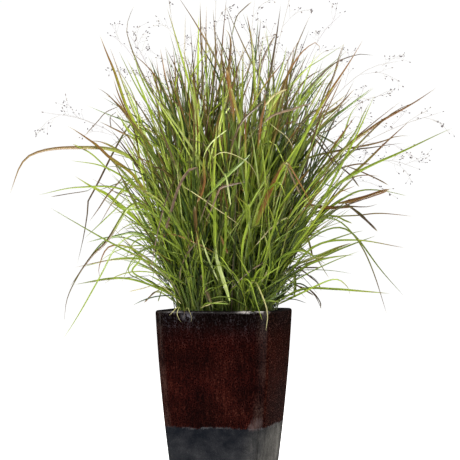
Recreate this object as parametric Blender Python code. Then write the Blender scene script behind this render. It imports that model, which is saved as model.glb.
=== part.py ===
"""Potted switchgrass: a dense clump of upright grass in a tall, tapered, glazed square planter.

Metres, +Z up. The origin is the middle of the planter's underside, and X and Y run square to its faces.
The grass is laid out in its own upright plan, turned a little on the planter: each of its points is
(right, up, toward) in millimetres, where up is counted from the rim and toward is towards the viewer.
"""

import math

import bmesh
import bpy
import numpy as np
from mathutils import Matrix, Vector
from mathutils.bvhtree import BVHTree

MM = 0.001
GAP = 0.3 * MM  # clearance between pieces that touch

# Planter
POT_HEIGHT = 0.540
RIM_HALF = 0.163  # from the axis to a face, at the rim
FOOT_HALF = 0.116
SIDE_BOW = 0.5  # how far the sides bow out of a straight taper
RIM_CORNER = 0.045  # corner radius at the rim
FOOT_CORNER = 0.036
CORNER_STEPS = 5
WALL = 0.016
FLOOR = 0.020
FOOT_BEVEL = 0.005
WALL_LEVELS = (0.06, 0.12, 0.18, 0.25, 0.33, 0.42, 0.50)
CAVITY_LEVELS = (0.49, 0.40, 0.28, 0.16, 0.06)
DRAIN_RADIUS = 0.008
DRAIN_CIRCLE = 0.045
DRAIN_COUNT = 3
DRAIN_SIDES = 12

# Soil
SOIL_BELOW_RIM = 0.028
SOIL_EDGE_DROP = 0.006  # the soil falls a little towards the wall
SOIL_EDGE_WIDTH = 0.010
SOIL_TOP = POT_HEIGHT - SOIL_BELOW_RIM

# Grass
CLUMP_TURN = math.radians(13)  # how far the grass's plan is turned on the planter
CULM = 5.0 * MM  # across a stem at its foot
CULM_TOP = 3.6 * MM
BLADE_DEPTH = 1.5 * MM  # from a blade's face to its keel
SIDE_ROOT = 3.0 * MM  # a side blade's width where it leaves the stem
TIP_SHARE = 0.22  # the last ring's share of the blade's width, before the point
LEAD_RINGS = 11
STALK_RINGS = 9
SIDE_RINGS = 8
CLEARANCE = 1.2 * MM  # kept between neighbouring shoots
SHIFT_STEP = 4 * MM
SHIFT_RINGS = 14

# Flower stalks
STALK = 3.4 * MM
STALK_TOP = 1.5 * MM
BRANCH = 1.3 * MM
BRANCH_COUNT = 6
BRANCH_START = 0.58  # share of the stalk where the lowest branch leaves
BRANCH_REACH = (0.19, 0.09)  # length of the lowest and highest branch
BRANCH_SPREAD = math.radians(38)
GOLDEN_TURN = math.radians(137.5)

# Colours and finish: base colour, roughness
GLAZE = ((0.055, 0.014, 0.011), 0.22)
SOIL = ((0.045, 0.030, 0.020), 0.95)
GREEN = ((0.130, 0.210, 0.045), 0.5)
STRAW = ((0.230, 0.190, 0.110), 0.6)


def blade(collar, width, *path):
    """A side blade: the height of its collar on the stem, its width and its points."""
    return {"collar": collar, "width": width, "path": path}


def shoot(foot, width, *path, sides=(), roll=35):
    """A stem that ends in a leading blade, which starts at the first point of the path."""
    return {"foot": foot, "width": width, "path": path, "sides": sides, "roll": roll}


# The shoots whose blades make the clump's outline, from the left round to the right.
SHOOTS = (
    shoot((-88, 20), 11, (-140, 235, 25), (-215, 380, 30), (-300, 440, 25), (-400, 450, 15),
          (-500, 445, 0), (-568, 415, -10), (-608, 320, -15),
          sides=(blade(190, 8, (-225, 320, 70), (-322, 389, 95), (-420, 409, 115)),)),
    shoot((-80, -30), 10, (-150, 165, -45), (-224, 305, -70), (-322, 417, -95), (-392, 479, -105),
          (-442, 512, -110),
          sides=(blade(120, 8, (-238, 235, -60), (-300, 297, -60), (-417, 367, -55)),)),
    shoot((-66, 52), 11, (-112, 207, 75), (-168, 375, 110), (-230, 487, 140), (-300, 574, 165),
          (-339, 602, 175),
          sides=(blade(170, 7, (-252, 318, 140), (-384, 333, 175), (-496, 311, 200)),)),
    shoot((-70, -66), 10, (-132, 249, -120), (-210, 431, -180), (-286, 594, -230), (-354, 770, -270),
          sides=(blade(200, 9, (-175, 400, -125), (-235, 520, -95), (-268, 528, -70), (-311, 459, -50),
                       (-372, 342, -30), (-398, 230, -20), (-417, 123, -15)),)),
    shoot((-46, 0), 10, (-50, 165, 0), (-84, 333, -20), (-140, 501, -45), (-210, 613, -70),
          (-260, 714, -90), (-286, 795, -100), (-280, 832, -105), (-263, 872, -110),
          sides=(blade(130, 10, (-85, 380, 30), (-126, 515, 50), (-188, 641, 75), (-260, 714, 95)),)),
    shoot((-52, 80), 10, (-84, 249, 110), (-140, 431, 150), (-196, 543, 180), (-230, 599, 195),
          (-277, 697, 215),
          sides=(blade(40, 8, (-199, 130, 150), (-300, 184, 175), (-400, 241, 190), (-462, 277, 200)),)),
    shoot((-38, -42), 9, (-60, 249, -75), (-98, 445, -130), (-132, 571, -175), (-168, 683, -220),
          (-182, 728, -240),
          sides=(blade(230, 9, (-110, 460, -60), (-136, 620, -40), (-126, 720, -25)),)),
    shoot((-18, 38), 13, (-20, 193, 60), (-36, 361, 95), (-62, 501, 130), (-106, 669, 175),
          (-148, 815, 215),
          sides=(blade(150, 10, (-70, 330, 150), (-110, 420, 250), (-130, 440, 360)),)),
    shoot((-24, -84), 10, (-30, 230, -120), (-42, 361, -150), (-59, 585, -210), (-66, 760, -260),
          (-67, 899, -300),
          sides=(blade(200, 9, (-60, 420, -240), (-90, 560, -360), (-110, 590, -480)),)),
    shoot((14, 66), 10, (28, 361, 85), (20, 529, 70), (-8, 655, 50), (-70, 776, 20), (-132, 876, 0),
          sides=(blade(260, 9, (60, 460, 160), (80, 560, 260), (90, 600, 350)),)),
    shoot((38, -66), 10, (70, 300, -110), (128, 529, -160), (115, 627, -170), (62, 731, -180),
          (-8, 882, -190),
          sides=(blade(240, 10, (95, 430, -230), (120, 520, -340), (130, 500, -450)),)),
    shoot((4, -18), 9, (-4, 260, -30), (-18, 500, -60), (-14, 725, -95), (0, 892, -120),
          sides=(blade(300, 9, (-40, 520, -10), (-25, 700, 25), (-32, 837, 40)),)),
    shoot((-98, 56), 12, (-150, 120, 90), (-185, 215, 110), (-222, 285, 125), (-258, 278, 135),
          (-314, 188, 150), (-358, 143, 160), (-414, 62, 170),
          sides=(blade(70, 7, (-240, 160, 75), (-314, 174, 70), (-344, 120, 70), (-342, 80, 70)),)),
    shoot((-107, -10), 8, (-160, 100, -15), (-238, 180, -20), (-322, 199, -25), (-384, 140, -30),
          (-443, 39, -35), (-457, -45, -35),
          sides=(blade(60, 8, (-215, 128, -60), (-300, 140, -90), (-420, 115, -110)),)),
    shoot((-102, 88), 8, (-130, 70, 110), (-180, 160, 140), (-238, 202, 160), (-288, 171, 175),
          (-328, 95, 190), (-384, -6, 205), (-431, -81, 215),
          sides=(blade(30, 8, (-224, 78, 150), (-300, 88, 165), (-403, 70, 180)),)),
    shoot((-112, 30), 8, (-137, 34, 40), (-200, 72, 55), (-255, 104, 65), (-238, 130, 70),
          (-212, 178, 75), sides=(blade(10, 7, (-190, 48, 5), (-227, 17, -5)),)),
    shoot((-84, -94), 9, (-140, 190, -140), (-200, 300, -175), (-252, 350, -200), (-322, 325, -225),
          (-381, 241, -245),
          sides=(blade(120, 8, (-210, 190, -200), (-300, 215, -250), (-388, 186, -290)),)),
    shoot((46, 18), 11, (60, 250, 35), (84, 417, 50), (115, 585, 65), (140, 725, 80), (157, 840, 90),
          sides=(blade(250, 9, (78, 501, 5), (104, 683, -20), (140, 764, -35)),)),
    shoot((56, -100), 8, (90, 300, -170), (150, 560, -240), (193, 697, -275), (241, 826, -310),
          sides=(blade(190, 9, (120, 350, -260), (170, 430, -370), (200, 410, -480)),)),
    shoot((60, 56), 13, (80, 280, 80), (104, 445, 100), (148, 571, 120), (190, 664, 135),
          (232, 714, 150), (260, 722, 160), (262, 692, 165),
          sides=(blade(170, 9, (110, 300, 190), (150, 340, 300), (170, 300, 400)),)),
    shoot((70, -28), 12, (104, 361, -70), (154, 501, -95), (204, 585, -110), (260, 652, -120),
          (316, 703, -130), (384, 727, -135), (424, 724, -140),
          sides=(blade(250, 9, (170, 420, -20), (240, 540, 10), (290, 640, 30)),)),
    shoot((66, 94), 11, (110, 250, 130), (180, 390, 165), (260, 540, 200), (336, 655, 230),
          (375, 720, 245),
          sides=(blade(200, 8, (180, 420, 80), (260, 543, 60), (305, 647, 50), (333, 739, 45)),)),
    shoot((92, 5), 12, (140, 151, 10), (224, 305, 20), (294, 403, 25), (350, 459, 30), (434, 521, 30),
          (518, 568, 30), (588, 614, 30),
          sides=(blade(110, 9, (215, 330, -45), (330, 450, -75), (420, 528, -90), (498, 588, -100)),)),
    shoot((101, 42), 11, (140, 95, 55), (224, 235, 75), (294, 328, 90), (384, 386, 105),
          (484, 431, 115), (580, 476, 125), (622, 494, 130),
          sides=(blade(60, 8, (230, 280, 140), (340, 420, 180), (448, 524, 205), (532, 563, 220)),)),
    shoot((97, -56), 11, (154, 123, -75), (238, 263, -100), (308, 342, -120), (384, 403, -135),
          (456, 473, -150), (530, 540, -165),
          sides=(blade(80, 8, (235, 300, -170), (336, 440, -220), (434, 468, -250), (521, 482, -275)),)),
    shoot((78, -78), 9, (110, 220, -110), (160, 370, -140), (210, 451, -160), (300, 552, -185),
          (367, 613, -200),
          sides=(blade(150, 8, (180, 380, -70), (280, 518, -45), (372, 585, -35), (418, 620, -30)),)),
    shoot((82, 70), 9, (140, 150, 95), (252, 277, 130), (308, 375, 150), (361, 479, 170),
          (406, 580, 185),
          sides=(blade(60, 8, (215, 200, 190), (290, 300, 270), (350, 330, 350)),)),
    shoot((110, -20), 11, (150, 110, -30), (210, 193, -35), (280, 272, -40), (364, 328, -40),
          (434, 333, -35), (512, 315, -30),
          sides=(blade(70, 10, (240, 225, 10), (308, 277, 30), (392, 308, 40), (464, 334, 45)),
                 blade(90, 9, (210, 240, -85), (308, 286, -115), (400, 288, -135), (436, 298, -140)))),
    shoot((108, 84), 9, (140, 80, 110), (182, 165, 130), (238, 235, 150), (298, 245, 165),
          (355, 190, 180), (395, 109, 190), (434, -14, 200),
          sides=(blade(30, 9, (230, 165, 110), (342, 190, 105), (487, 170, 100)),)),
    shoot((105, -92), 8, (150, 100, -120), (220, 180, -145), (300, 228, -165), (364, 213, -180),
          (445, 109, -195), (512, 32, -205),
          sides=(blade(50, 9, (224, 115, -150), (311, 160, -185), (434, 207, -225)),)),
    shoot((116, 18), 9, (150, 20, 24), (218, 56, 35), (302, 56, 45), (380, 50, 50), (458, 44, 55),
          sides=(blade(8, 8, (210, 44, 90), (297, 83, 130), (333, 67, 145), (344, 40, 150)),)),
    shoot((115, 54), 8, (150, 60, 75), (200, 105, 100), (269, 137, 125), (353, 151, 150),
          sides=(blade(30, 6, (200, 72, 60), (245, 46, 62), (269, 0, 62)),)),
    shoot((34, 104), 10, (90, 230, 160), (140, 350, 200), (162, 400, 215), (182, 380, 225),
          (216, 319, 245), (244, 263, 255),
          sides=(blade(150, 9, (60, 300, 240), (70, 380, 340), (75, 380, 440)),)),
    shoot((24, 20), 9, (110, 330, 70), (168, 473, 105), (215, 508, 120), (272, 454, 140),
          (311, 389, 150), (314, 358, 152),
          sides=(blade(220, 9, (60, 420, 100), (50, 580, 150), (40, 680, 180)),)),
    shoot((-42, 108), 10, (-60, 250, 150), (-72, 380, 175), (-98, 396, 200), (-137, 330, 225),
          (-165, 235, 245), (-190, 104, 260),
          sides=(blade(120, 9, (-120, 230, 240), (-180, 300, 330), (-230, 290, 420)),)),
    shoot((-10, 112), 8, (0, 220, 170), (8, 335, 215), (-12, 340, 235), (-40, 285, 255), (-57, 232, 268),
          sides=(blade(90, 9, (10, 190, 230), (15, 260, 340), (20, 240, 450)),)),
    shoot((56, 108), 8, (66, 40, 150), (84, 78, 178), (104, 45, 198), (120, -5, 208), (117, -52, 212),
          sides=(blade(14, 8, (52, 78, 170), (72, 78, 196), (92, 20, 212), (108, -25, 216)),)),
    shoot((-56, -112), 10, (-80, 220, -200), (-120, 340, -300), (-170, 380, -410), (-220, 330, -500),
          sides=(blade(120, 9, (-150, 240, -230), (-240, 330, -300), (-310, 370, -350)),)),
    shoot((-12, -116), 10, (-20, 260, -220), (-30, 430, -340), (-40, 500, -460), (-40, 480, -560),
          sides=(blade(80, 8, (-40, 150, -260), (-60, 190, -380), (-80, 150, -480)),)),
    shoot((26, -112), 10, (60, 200, -210), (110, 300, -330), (150, 340, -450), (170, 300, -540),
          sides=(blade(90, 9, (90, 240, -200), (150, 380, -270), (190, 480, -330)),)),
    shoot((88, -112), 9, (130, 160, -200), (190, 240, -310), (240, 260, -420), (270, 220, -500),
          sides=(blade(70, 8, (140, 210, -170), (220, 340, -220), (290, 440, -260)),)),
    shoot((-98, -64), 9, (-150, 130, -130), (-220, 190, -230), (-280, 190, -330), (-320, 130, -410),
          sides=(blade(60, 8, (-180, 170, -90), (-280, 270, -130), (-370, 320, -170)),)),
    shoot((-76, 118), 9, (-110, 120, 200), (-170, 170, 290), (-220, 150, 370), (-250, 80, 430),
          sides=(blade(50, 8, (-110, 150, 170), (-180, 250, 240), (-240, 310, 310)),)),
    shoot((92, 106), 9, (130, 110, 190), (190, 160, 280), (240, 150, 360), (280, 90, 430),
          sides=(blade(50, 8, (140, 160, 160), (210, 260, 220), (270, 330, 280)),)),
)

# Flower stalks: each foot (right, toward), then the points of the stalk up to the tip of the flower head.
STALKS = (
    ((-96, -46), (-190, 330, -60), (-290, 470, -70), (-400, 535, -80), (-530, 560, -85)),
    ((-58, -22), (-120, 400, -40), (-200, 600, -50), (-280, 735, -60), (-340, 785, -70)),
    ((-30, -62), (-80, 400, -110), (-130, 650, -150), (-165, 830, -180), (-180, 920, -195)),
    ((-62, 30), (-120, 400, 70), (-180, 600, 100), (-225, 700, 120), (-262, 760, 135)),
    ((-6, 10), (-15, 400, 40), (-25, 680, 70), (-20, 910, 90)),
    ((10, -44), (35, 400, -80), (58, 680, -110), (78, 900, -130)),
    ((40, 44), (85, 400, 80), (135, 660, 110), (195, 900, 140)),
    ((64, -54), (125, 400, -100), (205, 640, -140), (275, 790, -165), (345, 860, -180)),
    ((80, 34), (170, 380, 60), (285, 560, 85), (390, 655, 100), (490, 680, 110)),
    ((90, -32), (190, 350, -50), (310, 530, -65), (400, 590, -75), (470, 610, -80)),
    ((104, 16), (210, 310, 35), (340, 430, 50), (470, 500, 60), (605, 545, 65)),
    ((108, -66), (220, 270, -120), (350, 380, -170), (460, 425, -200), (560, 400, -225)),
    ((-34, -100), (-60, 350, -220), (-90, 620, -330), (-110, 760, -420)),
    ((20, 92), (40, 350, 200), (70, 600, 310), (90, 730, 400)),
)


def clear_scene():
    for obj in list(bpy.data.objects):
        bpy.data.objects.remove(obj)


def finish(name, finish_values):
    """One Principled material."""
    colour, roughness = finish_values
    made = bpy.data.materials.new(name)
    made.use_nodes = True
    shader = made.node_tree.nodes["Principled BSDF"]
    shader.inputs["Base Color"].default_value = (*colour, 1)
    shader.inputs["Roughness"].default_value = roughness
    shader.inputs["Metallic"].default_value = 0
    return made


def add_object(name, points, faces, material=None):
    mesh = bpy.data.meshes.new(name)
    mesh.from_pydata([tuple(p) for p in points], [], faces)
    obj = bpy.data.objects.new(name, mesh)
    bpy.context.scene.collection.objects.link(obj)
    if material:
        mesh.materials.append(material)
    return obj


# The planter and its soil


def half_at(z):
    """From the axis to a face of the planter, at a height."""
    t = z / POT_HEIGHT
    return FOOT_HALF + (RIM_HALF - FOOT_HALF) * (t + SIDE_BOW * t * (1 - t))


def corner_at(z):
    return FOOT_CORNER + (RIM_CORNER - FOOT_CORNER) * z / POT_HEIGHT


def rounded_square(half, corner, z):
    """A ring of points, anticlockwise from above."""
    ring = []
    for quarter in range(4):
        middle = Matrix.Rotation(quarter * math.pi / 2, 3, "Z") @ Vector((half - corner, half - corner, 0))
        for step in range(CORNER_STEPS + 1):
            angle = (quarter + step / CORNER_STEPS) * math.pi / 2
            ring.append(middle + Vector((corner * math.cos(angle), corner * math.sin(angle), z)))
    return ring


def stack(rings):
    """Points and faces of a closed body through these rings, bottom cap first."""
    count = len(rings[0])
    points = [p for ring in rings for p in ring]
    faces = [list(range(count))[::-1]]
    for level in range(len(rings) - 1):
        for i in range(count):
            a, b = level * count + i, level * count + (i + 1) % count
            faces.append([a, b, b + count, a + count])
    faces.append([(len(rings) - 1) * count + i for i in range(count)])
    return points, faces


def wall_rings():
    """The outside of the planter, from the underside to where the rim starts to round over."""
    foot = rounded_square(half_at(0) - FOOT_BEVEL, corner_at(0) - FOOT_BEVEL, 0)
    levels = (FOOT_BEVEL, *WALL_LEVELS, POT_HEIGHT - WALL / 2)
    return [foot] + [rounded_square(half_at(z), corner_at(z), z) for z in levels]


def rim_rings():
    """The rim's half-round top."""
    radius = WALL / 2
    start = POT_HEIGHT - radius
    rings = []
    for degrees in (30, 65, 115, 150):
        inset = radius * (1 - math.cos(math.radians(degrees)))
        z = start + radius * math.sin(math.radians(degrees))
        rings.append(rounded_square(half_at(start) - inset, corner_at(start) - inset, z))
    return rings


def cavity_ring(z, inset=0.0):
    inward = WALL + inset
    return rounded_square(half_at(z) - inward, corner_at(z) - inward, z)


def build_planter(material):
    inside = [cavity_ring(POT_HEIGHT - WALL / 2)]
    inside += [cavity_ring(z) for z in CAVITY_LEVELS]
    inside.append(cavity_ring(FLOOR))
    points, faces = stack(wall_rings() + rim_rings() + inside)
    planter = add_object("planter", points, faces, material)
    bpy.context.view_layer.update()
    for k in range(DRAIN_COUNT):
        angle = math.radians(90) + k * math.tau / DRAIN_COUNT
        place = Vector((DRAIN_CIRCLE * math.cos(angle), DRAIN_CIRCLE * math.sin(angle), FLOOR / 2))
        cutter_mesh = bmesh.new()
        bmesh.ops.create_cone(cutter_mesh, cap_ends=True, segments=DRAIN_SIDES, radius1=DRAIN_RADIUS,
                              radius2=DRAIN_RADIUS, depth=3 * FLOOR, matrix=Matrix.Translation(place))
        mesh = bpy.data.meshes.new(f"drain_cutter_{k + 1}")
        cutter_mesh.to_mesh(mesh)
        cutter_mesh.free()
        cutter = bpy.data.objects.new(mesh.name, mesh)
        bpy.context.scene.collection.objects.link(cutter)
        cutter.hide_render = True
        cutter.display_type = "WIRE"
        cut = planter.modifiers.new(f"drain_{k + 1}", "BOOLEAN")
        cut.operation = "DIFFERENCE"
        cut.object = cutter
    return planter


def build_soil(material):
    levels = sorted(z for z in CAVITY_LEVELS if z < SOIL_TOP - SOIL_EDGE_DROP)
    edge_top = SOIL_TOP - SOIL_EDGE_DROP
    rings = [cavity_ring(FLOOR, GAP)]
    rings[0] = [p + Vector((0, 0, GAP)) for p in rings[0]]
    rings += [cavity_ring(z, 1.5 * GAP) for z in (*levels, edge_top)]
    rings.append([p + Vector((0, 0, SOIL_EDGE_DROP)) for p in cavity_ring(edge_top, SOIL_EDGE_WIDTH)])
    points, faces = stack(rings)
    return add_object("potting_soil", points, faces, material)


# The grass


def placed(point):
    """A point of the grass's plan, in metres in the part's frame."""
    right, up, toward = (value * MM for value in point)
    c, s = math.cos(CLUMP_TURN), math.sin(CLUMP_TURN)
    return Vector((right * c + toward * s, right * s - toward * c, POT_HEIGHT + up))


def smooth_path(points, count):
    """That many points, evenly spaced on a smooth curve through the given ones."""
    given = [np.array(p) for p in points]
    given = [2 * given[0] - given[1], *given, 2 * given[-1] - given[-2]]
    fine = []
    for a, b, c, d in zip(given, given[1:], given[2:], given[3:]):
        for t in np.linspace(0, 1, 12, endpoint=False):
            fine.append(0.5 * (2 * b + (c - a) * t + (2 * a - 5 * b + 4 * c - d) * t ** 2
                               + (3 * b - a - 3 * c + d) * t ** 3))
    fine = np.array([*fine, given[-2]])
    along = np.concatenate([[0], np.cumsum(np.linalg.norm(np.diff(fine, axis=0), axis=1))])
    even = np.linspace(0, along[-1], count)
    return [Vector([np.interp(s, along, fine[:, k]) for k in range(3)]) for s in even], along[-1]


def blade_share(t):
    """A blade's width along its length, as a share of its greatest width."""
    return min(1.0, 0.45 + 3.7 * t) * (1 - max(0.0, (t - 0.3) / 0.7) ** 1.5 * (1 - TIP_SHARE))


def ribbon(path, widths, depths, facing, roll, level_foot=False):
    """A three-sided body along a path, flat on one face, ending in a point."""
    count = len(path) - 1
    tangents = [(path[min(i + 1, count)] - path[max(i - 1, 0)]).normalized() for i in range(count + 1)]
    if level_foot:
        tangents[0] = Vector((0, 0, 1))
    side = tangents[0].cross(facing).normalized()
    side = Matrix.Rotation(math.radians(roll), 3, tangents[0]) @ side
    points = []
    for i in range(count):
        side = (side - side.dot(tangents[i]) * tangents[i]).normalized()
        under = tangents[i].cross(side)
        points.append(path[i] + side * widths[i] / 2 + under * depths[i] / 3)
        points.append(path[i] - side * widths[i] / 2 + under * depths[i] / 3)
        points.append(path[i] - under * depths[i] * 2 / 3)
    points.append(path[-1])
    faces = [[0, 1, 2]]
    for i in range(count - 1):
        for k in range(3):
            a, b = 3 * i + k, 3 * i + (k + 1) % 3
            faces += [[a, a + 3, b + 3], [a, b + 3, b]]
    tip = 3 * count
    faces += [[tip - 3, tip, tip - 2], [tip - 2, tip, tip - 1], [tip - 1, tip, tip - 3]]
    return points, faces


def lead_ribbon(plan, foot, extra):
    """The stem and its leading blade as one body."""
    points = [Vector((foot.x, foot.y, SOIL_TOP + GAP))] + [placed(p) for p in plan["path"]]
    path, length = smooth_path(points, LEAD_RINGS)
    collar = (points[1] - points[0]).length / length
    widths, depths = [], []
    for i in range(LEAD_RINGS):
        t = i / (LEAD_RINGS - 1)
        on_blade = max(0.0, (t - collar) / (1 - collar))
        stem = CULM + (CULM_TOP - CULM) * min(1.0, t / collar)
        if t <= collar:
            widths.append(stem + extra)
            depths.append(stem * 0.87 + extra)
        else:
            widths.append(max(CULM_TOP * (1 - on_blade), plan["width"] * MM * blade_share(on_blade)) + extra)
            depths.append(max(CULM_TOP * (1 - 4 * on_blade), BLADE_DEPTH * (1 - 0.4 * on_blade)) + extra)
    return path, ribbon(path, widths, depths, viewer(), plan["roll"], level_foot=True)


def side_ribbon(plan, stem, extra):
    """A side blade, rooted inside the stem at its collar."""
    z = POT_HEIGHT + plan["collar"] * MM
    above = next(i for i in range(1, len(stem)) if stem[i].z >= z or i == len(stem) - 1)
    low, high = stem[above - 1], stem[above]
    root = low.lerp(high, min(1.0, max(0.0, (z - low.z) / (high.z - low.z))))
    path, length = smooth_path([root] + [placed(p) for p in plan["path"]], SIDE_RINGS)
    widths, depths = [], []
    for i in range(SIDE_RINGS):
        t = i / (SIDE_RINGS - 1)
        widths.append(max(SIDE_ROOT * (1 - 3 * t), plan["width"] * MM * blade_share(t) * min(1, 0.4 + 4 * t))
                      + extra)
        depths.append(max(SIDE_ROOT * 0.8 * (1 - 4 * t), BLADE_DEPTH * (1 - 0.4 * t)) + extra)
    return ribbon(path, widths, depths, viewer(), 35)


def viewer():
    """The direction towards the viewer, level."""
    return Vector((math.sin(CLUMP_TURN), -math.cos(CLUMP_TURN), 0))


def shoot_bodies(plan, foot, extra=0.0):
    stem, lead = lead_ribbon(plan, foot, extra)
    return [lead] + [side_ribbon(side, stem, extra) for side in plan["sides"]]


def stalk_bodies(plan, foot, extra=0.0):
    """A flower stalk and the main branches of its open head."""
    points = [Vector((foot.x, foot.y, SOIL_TOP + GAP))] + [placed(p) for p in plan["path"]]
    path, _ = smooth_path(points, STALK_RINGS)
    share = [i / (STALK_RINGS - 1) for i in range(STALK_RINGS)]
    thick = [STALK + (STALK_TOP - STALK) * t + extra for t in share]
    bodies = [ribbon(path, thick, [0.87 * t for t in thick], viewer(), 0, level_foot=True)]
    for k in range(BRANCH_COUNT):
        t = k / (BRANCH_COUNT - 1)
        at = (BRANCH_START + (0.93 - BRANCH_START) * t) * (STALK_RINGS - 1)
        low = int(at)
        root = path[low].lerp(path[low + 1], at - low)
        along = (path[low + 1] - path[low]).normalized()
        out = Matrix.Rotation((k + plan["turn"]) * GOLDEN_TURN, 3, along) @ along.orthogonal().normalized()
        reach = BRANCH_REACH[0] + (BRANCH_REACH[1] - BRANCH_REACH[0]) * t
        knee = root + (along * math.cos(BRANCH_SPREAD) + out * math.sin(BRANCH_SPREAD)) * reach / 2
        end = knee + (along * 0.55 + out * 0.8).normalized() * reach / 2 - Vector((0, 0, 0.012))
        branch = [root, knee, end]
        widths = [max(BRANCH, 0.75 * thick[low]) + extra, BRANCH + extra]
        bodies.append(ribbon(branch, widths, [0.8 * w for w in widths], Vector((0, 0, 1)), 0))
    return bodies


def shifts():
    """Sideways moves to try, nearest first: none, then growing rings."""
    yield Vector((0, 0, 0))
    for ring in range(1, SHIFT_RINGS):
        for k in range(8):
            angle = (k + 0.5 * (ring % 2)) * math.tau / 8
            yield Vector((math.cos(angle), math.sin(angle), 0)) * SHIFT_STEP * ring


def moved(plan, shift):
    """The plan with its points moved sideways by a shift in the part's frame."""
    c, s = math.cos(CLUMP_TURN), math.sin(CLUMP_TURN)
    right = (shift.x * c + shift.y * s) / MM
    toward = (shift.x * s - shift.y * c) / MM

    def path_moved(path):
        return tuple((p[0] + right, p[1], p[2] + toward) for p in path)

    sides = tuple({**side, "path": path_moved(side["path"])} for side in plan.get("sides", ()))
    return {**plan, "path": path_moved(plan["path"]), "sides": sides}


def tree_of(bodies):
    points, faces = [], []
    for body_points, body_faces in bodies:
        faces += [[i + len(points) for i in face] for face in body_faces]
        points += body_points
    return BVHTree.FromPolygons(points, faces)


def foot_of(plan):
    right, toward = plan["foot"]
    spot = placed((right, 0, toward))
    return Vector((spot.x, spot.y, 0))


def grown_clear(plan, bodies_of, grown):
    """The plan's bodies, moved sideways as little as clears every shoot that already stands."""
    limit = half_at(SOIL_TOP) - WALL - SOIL_EDGE_WIDTH - CULM
    for shift in shifts():
        foot = foot_of(plan) + shift
        if max(abs(foot.x), abs(foot.y)) > limit:
            continue
        trial = moved(plan, shift)
        tree = tree_of(bodies_of(trial, foot, CLEARANCE))
        if not any(tree.overlap(other) for other in grown):
            grown.append(tree)
            return bodies_of(trial, foot)
    raise ValueError(f"no clear place for the shoot at {plan['foot']}")


def fused(name, bodies, material):
    """One object from a stem and what grows out of it."""
    stem = add_object(name, *bodies[0], material)
    for k, body in enumerate(bodies[1:]):
        helper = add_object(f"{name}_part_{k + 1}", *body)
        helper.hide_render = True
        helper.display_type = "WIRE"
        join = stem.modifiers.new(f"part_{k + 1}", "BOOLEAN")
        join.operation = "UNION"
        join.object = helper
    return stem


def planter_tree(planter):
    graph = bpy.context.evaluated_depsgraph_get()
    return BVHTree.FromObject(planter, graph)


def build_grass(planter, green, straw):
    grown = [planter_tree(planter)]
    for k, plan in enumerate(SHOOTS):
        fused(f"tiller_{k + 1:02d}", grown_clear(plan, shoot_bodies, grown), green)
    for k, (foot, *path) in enumerate(STALKS):
        plan = {"foot": foot, "path": tuple(path), "turn": k}
        fused(f"flower_stalk_{k + 1:02d}", grown_clear(plan, stalk_bodies, grown), straw)


def main():
    clear_scene()
    planter = build_planter(finish("glaze", GLAZE))
    build_soil(finish("soil", SOIL))
    build_grass(planter, finish("leaf", GREEN), finish("stalk", STRAW))


main()
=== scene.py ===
import math
import random

import bpy
import numpy as np
from mathutils import Matrix, Vector


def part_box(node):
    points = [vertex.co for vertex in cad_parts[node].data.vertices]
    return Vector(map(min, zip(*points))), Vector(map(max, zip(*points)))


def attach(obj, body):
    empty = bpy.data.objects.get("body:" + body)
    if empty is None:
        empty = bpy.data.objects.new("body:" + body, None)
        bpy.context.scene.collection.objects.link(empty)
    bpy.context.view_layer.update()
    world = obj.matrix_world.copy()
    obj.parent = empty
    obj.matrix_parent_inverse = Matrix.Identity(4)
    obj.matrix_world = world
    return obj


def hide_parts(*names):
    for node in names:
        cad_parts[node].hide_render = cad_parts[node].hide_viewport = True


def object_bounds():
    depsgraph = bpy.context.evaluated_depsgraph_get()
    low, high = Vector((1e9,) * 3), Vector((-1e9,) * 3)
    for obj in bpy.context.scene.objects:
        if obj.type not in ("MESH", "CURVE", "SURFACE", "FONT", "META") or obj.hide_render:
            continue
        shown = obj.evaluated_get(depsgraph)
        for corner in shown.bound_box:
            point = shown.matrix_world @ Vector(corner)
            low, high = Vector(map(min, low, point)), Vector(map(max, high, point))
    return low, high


# Potted switchgrass: a glazed planter, its soil, the shoots with their blades, and the flower heads.
# Metres, +Z up, as the frame. The grass has its own plan (right, up, toward) in millimetres: up counts
# from the planter's rim, toward is towards the viewer, and the plan is turned a little on the planter.

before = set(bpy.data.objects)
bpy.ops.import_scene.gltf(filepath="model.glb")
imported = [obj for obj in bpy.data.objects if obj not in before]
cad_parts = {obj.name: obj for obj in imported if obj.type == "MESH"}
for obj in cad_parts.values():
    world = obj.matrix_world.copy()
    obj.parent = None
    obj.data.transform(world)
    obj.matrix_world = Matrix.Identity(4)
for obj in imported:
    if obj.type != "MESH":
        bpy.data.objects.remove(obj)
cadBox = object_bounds()

mm = 0.001
rimLevel = 0.540  # the plan's heights start here
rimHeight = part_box("planter")[1].z
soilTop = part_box("potting_soil")[1].z
clumpTurn = math.radians(13)
toViewer = Vector((math.sin(clumpTurn), -math.cos(clumpTurn), 0))
toRight = Vector((math.cos(clumpTurn), math.sin(clumpTurn), 0))


def inFrame(point):  # a point of the plan, in metres in the frame
    right, up, toward = (value * mm for value in point)
    return np.array(toRight * right + toViewer * toward + Vector((0, 0, rimLevel + up)))


def inPlan(points):  # points in the frame, as right, up and toward in millimetres
    flat = np.asarray(points) - (0, 0, rimLevel)
    return np.stack([flat @ toRight, flat[..., 2], flat @ toViewer], -1) / mm


def deselectAll():
    for item in bpy.context.selected_objects:
        item.select_set(False)


def socketed(group, name, kind, inward, value=None):
    made = group.interface.new_socket(name, in_out="INPUT" if inward else "OUTPUT", socket_type=kind)
    if value is not None:
        made.default_value = value
    return made


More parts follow.
